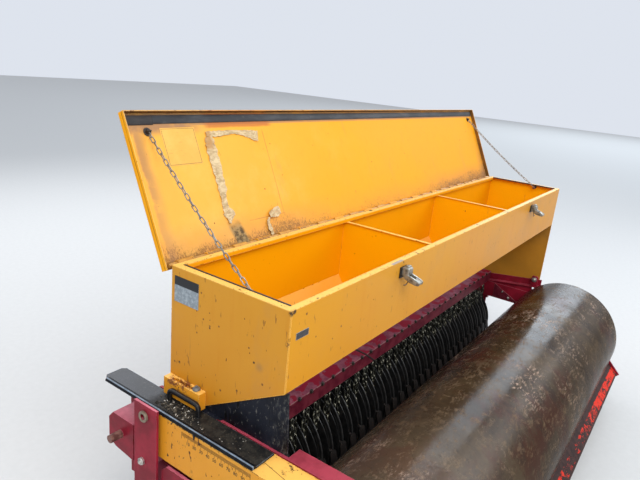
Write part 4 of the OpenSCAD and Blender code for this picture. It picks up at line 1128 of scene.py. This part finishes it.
def make_rim_lips():
    """The rim's turned-down lips along the front and the rear wall."""
    lips = Stock("rim_lips")
    for y in (20.5, 407.5):
        lo, hi = at(-1303, y, RIM_Z / MM - 15.5), at(1303, y + 1.5, RIM_Z / MM - 0.4)
        corners = [(lo.x, lo.z), (hi.x, lo.z), (hi.x, hi.z), (lo.x, hi.z)]
        lips.prism([Vector((x, lo.y, z)) for x, z in corners], (0, hi.y - lo.y, 0), 0.0002)
    lips.done("hopper")


def make_slider_grip():
    """The slider's handle, bent from one bar."""
    (x0, y0, z0), (x1, y1, z1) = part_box("slider_handle")
    half, deep, bend = (x1 - x0) / 2, 0.0075, 0.014
    spine = [(y0 + deep, z0, 0)]
    for i in range(7):
        a = math.radians(15 * i)
        spine.append((y0 + deep + bend * (1 - math.cos(a)), z1 - deep - bend * (1 - math.sin(a)), a))
    spine += [(y1 - (y - y0), z, math.pi - a) for y, z, a in reversed(spine)]
    rings = []
    for y, z, a in spine:
        ring = []
        for i in range(12):
            t = math.tau * i / 12
            side = half * math.copysign(abs(math.cos(t)) ** 0.6, math.cos(t))
            out = deep * math.copysign(abs(math.sin(t)) ** 0.6, math.sin(t))
            ring.append(Vector(((x0 + x1) / 2 + side, y - out * math.cos(a), z + out * math.sin(a))))
        rings.append(ring)
    grip = Stock("slider_grip")
    grip.skin(rings)
    grip.done("handle", replaces=("slider_handle",))


def make_crumbs():
    """Straw, seed and soil that has gathered on the slider round its handle."""
    rng = random.Random(21)
    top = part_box("rate_slider")[1][2] - 0.002
    crumbs = Stock("crumbs")
    for i in range(260):
        gathered = i % 4 > 0
        x = rng.triangular(-1402, -1340, -1385) if gathered else rng.uniform(-1402, -1338)
        y = rng.gauss(338, 38) if gathered else rng.uniform(60, 300)
        if not 15 < y < 440:
            continue
        long = (rng.uniform(2.5, 8.0) if gathered and i % 2 else rng.uniform(0.8, 2.4)) * MM
        thick = rng.uniform(0.6, 2.6 if gathered else 0.9) * MM
        mid = Vector((x * MM, at(0, y, 0).y, top + thick * 0.6))
        a = rng.uniform(0, math.pi)
        ahead = (math.cos(a), math.sin(a), rng.uniform(-0.15, 0.35))
        shape = [(-long, thick * 0.3), (-long * 0.4, thick), (long * 0.5, thick * 0.8), (long, thick * 0.2)]
        crumbs.turned(shape, mid, ahead, 5)
    crumbs.done("crumb")


def make_latches():
    """The rear catches: a cast body on a black plate, an open lever and a rusty hook."""
    body = [(-4, 1134), (-4, 1166), (-24, 1167), (-29, 1163), (-30, 1146), (-26, 1138), (-14, 1133)]
    cheek = [(-16, 1131), (-22, 1147), (-44, 1140), (-64, 1133),
             (-70, 1129), (-69, 1119), (-56, 1118), (-34, 1122)]
    tip = [(-50, 1137), (-64, 1131.5), (-69, 1128), (-68, 1120), (-56, 1119), (-50, 1121)]
    under = [(-14, 1130), (-14, 1133), (-51, 1123), (-51, 1120.5)]
    hook = [(5, -16, 1142), (9, -19, 1127), (9, -20, 1116),
            (2, -20, 1109), (-10, -20, 1108), (-20, -20, 1111)]
    for name, centre in (("latch_left", LATCH_X), ("latch_right", -LATCH_X)):
        way = -math.copysign(1, centre)
        x = centre / MM
        catch = Stock(name + "_cast")
        catch.block(at(x - 22, -5, 1129), at(x + 22, 0.4, 1166), 0.0012)
        catch.block(at(x - 7, -24, 1160), at(x + 14, -11, 1172), 0.002)
        catch.upright(x - 15, body, 0.032, 0.0018)
        catch.upright(x - 16, cheek, 0.008, 0.0014)
        catch.upright(x + 9, cheek, 0.008, 0.0014)
        catch.upright(x - 10, tip, 0.021, 0.001)
        catch.upright(x - 9, under, 0.019)
        catch.tube([at(x + way * a, b, c) for a, b, c in hook], 0.0019, flat=AHEAD)
        catch.done("latch", replaces=(name,))


def make_adjuster_knob():
    """A grey knob with grip notches on the adjuster's box."""
    x, y, top = -1338, 302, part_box("adjuster_box")[1][2] / MM
    knob = Stock("adjuster_knob")
    rings = []
    for z, r in ((-4, 6), (-1, 8.5), (1, 11), (5.5, 11), (8, 9.5), (9, 5)):
        ring = []
        for i in range(36):
            a = math.tau * i / 36
            grip = r * (1 - 0.07 * max(0.0, math.cos(a * 9)))
            ring.append(at(x + grip * math.cos(a), y + grip * math.sin(a), top + z))
        rings.append(ring)
    knob.skin(rings)
    knob.bolt(at(x, y, top + 8.6), UP, 0.007)
    knob.done("knob")


def make_stand_fittings():
    """The bushing ring and the bright bolt of each parking stand."""
    profile = [(0, 0.015), (0, 0.0168), (0.0066, 0.0168), (0.0078, 0.0156),
               (0.0078, 0.0112), (0.0066, 0.0094), (0.005, 0.0094), (0.005, 0.015)]
    for body, side in (("stand_left", -1), ("stand_right", 1)):
        face = abs(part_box(body)[side > 0][0]) - STAND_FOOT
        ring = Stock(body + "_bushing")
        mid = Vector((side * face, at(0, 402.9, 0).y, 0.763))
        axis = Vector((side, 0, 0))
        around = circle(Vector(), Vector(AHEAD), Vector(UP), 1, 28)
        ring.skin([[mid + axis * s + out * r for s, r in profile] for out in around], True)
        ring.done("bushing", body)
        screw = Stock(body + "_bolt")
        screw.bolt(Vector((side * (face - 0.007), at(0, 411.7, 0).y, 0.608)), axis, 0.0215)
        screw.done("bright_bolt", body)


def make_far_fittings():
    """Tab with its bolt, stiffening gusset and bolts below the far side panel; the near side has none."""
    tab = Stock("panel_tab")
    tab.upright(1282, [(2, 540), (43, 540), (43, 610), (36, 618), (9, 618), (2, 610)], 0.006, 0.001)
    tab.done("red")
    bolts = Stock("panel_bolts")
    for x, y, z, size in ((1282, 24, 593, 17), (1280.5, 160, 425, 15), (1280.5, 205, 455, 12)):
        bolts.bolt(at(x, y, z), LEFT, size * MM)
    bolts.done("bright_bolt")
    gusset = Stock("rail_gusset")
    gusset.upright(1276, ((263, 500), (99, 411), (263, 411)), 0.004, 0.001)
    gusset.done("beam")


def make_hub_bolts():
    """A cap and a nut on the outer side of each disc hub."""
    caps = Stock("hub_caps")
    for x in ROW_X:
        for side in (-1, 1):
            place = Vector((x + side * 0.0195, DISC_Y, DISC_Z))
            caps.turned([(0, 0.026), (0.004, 0.026), (0.008, 0.02), (0.0085, 0.012)], place, (side, 0, 0))
            caps.bolt(place + Vector((side * 0.008, 0, 0)), (side, 0, 0), 0.013, False)
    caps.done("soiled")


def make_rim_strip():
    """The dark draught strip along the inner edge of each end plate's rim."""
    strip = Stock("rim_strips")
    wide, length, gap = 6, 64.2, 0.3
    for x in (-1302, 1296):
        for k in range(6):
            y = 22 + k * (length + gap)
            strip.block(at(x, y, RIM_Z / MM - 5), at(x + wide, y + length, RIM_Z / MM + 1.6), 0.0008)
    strip.done("rubber")


# The camera stands behind the machine's left end at eye height, as in the photograph
EYE_LEFT_OF_HOPPER = 1.005
EYE_BEHIND_WALL = 0.744
EYE_ABOVE_RIM = 0.561
PAN = math.radians(34.11)
TILT = math.radians(16.71)
ROLL = math.radians(5.45)
FOCAL_PX = 563.87
PHOTO_W = 640
SENSOR = 36.0


def make_camera():
    cam = placed("photo_camera", bpy.data.cameras.new("photo_camera"))
    ahead = Vector((math.cos(PAN) * math.cos(TILT), math.sin(PAN) * math.cos(TILT), -math.sin(TILT)))
    right = Vector((math.sin(PAN), -math.cos(PAN), 0))
    up = right.cross(ahead)
    right_rolled = right * math.cos(ROLL) + up * math.sin(ROLL)
    up_rolled = up * math.cos(ROLL) - right * math.sin(ROLL)
    turn = Matrix((right_rolled, up_rolled, -ahead)).transposed().to_4x4()
    eye = Vector((-HALF - EYE_LEFT_OF_HOPPER, WALL_Y - EYE_BEHIND_WALL, RIM_Z + EYE_ABOVE_RIM))
    cam.matrix_world = Matrix.Translation(eye) @ turn
    cam.data.sensor_width = SENSOR
    cam.data.lens = FOCAL_PX * SENSOR / PHOTO_W
    cam.data.clip_end = 100
    bpy.context.scene.camera = cam


def area_light(name, place, aim, size, power, color):
    data = bpy.data.lights.new(name, "AREA")
    data.shape = "RECTANGLE"
    data.size, data.size_y = size
    data.energy = power
    data.color = color
    light = placed(name, data)
    light.location = place
    light.rotation_euler = (Vector(aim) - Vector(place)).to_track_quat("-Z", "Y").to_euler()


def make_studio():
    bpy.ops.mesh.primitive_plane_add(size=60)
    floor = bpy.context.object
    floor.name = "floor"
    m = Look("floor_look")
    m.color = m.mix(m.noise(30, 4), (0.5, 0.5, 0.49), (0.56, 0.56, 0.55))
    floor.data.materials.append(m.finish(0.8))
    world = bpy.data.worlds.new("studio")
    bpy.context.scene.world = world
    world.use_nodes = True
    sky = world.node_tree.nodes["Background"]
    sky.inputs[0].default_value = (0.86, 0.91, 1.0, 1)
    sky.inputs[1].default_value = 0.85
    area_light("key", (-3.5, -3.5, 5.5), (0, 0, 0.6), (5, 4), 380, (1.0, 0.98, 0.95))
    area_light("fill", (4.5, -4.0, 4.0), (0, 0, 0.5), (5, 3), 160, (0.93, 0.96, 1.0))
    area_light("back", (0.5, 5.5, 4.5), (0, 0, 0.8), (6, 3), 200, (0.95, 0.97, 1.0))
    area_light("far_sky", (25, 2.3, 14), (0, 0, 0.6), (11, 12), 2600, (0.8, 0.9, 1.0))
    bpy.context.scene.view_settings.view_transform = "Standard"


dress_frame()
make_camera()
make_studio()
for make in (make_element_links, make_stay_links, make_beam_bolts, make_tail_flaps, make_lid_seal,
             make_flap_hem, make_bare_label, make_tape, make_scale, make_slider_trim, make_rim_lips,
             make_slider_grip, make_crumbs, make_adjuster_knob, make_latches, make_stand_fittings,
             make_far_fittings, make_hub_bolts, make_rim_strip):
    make()
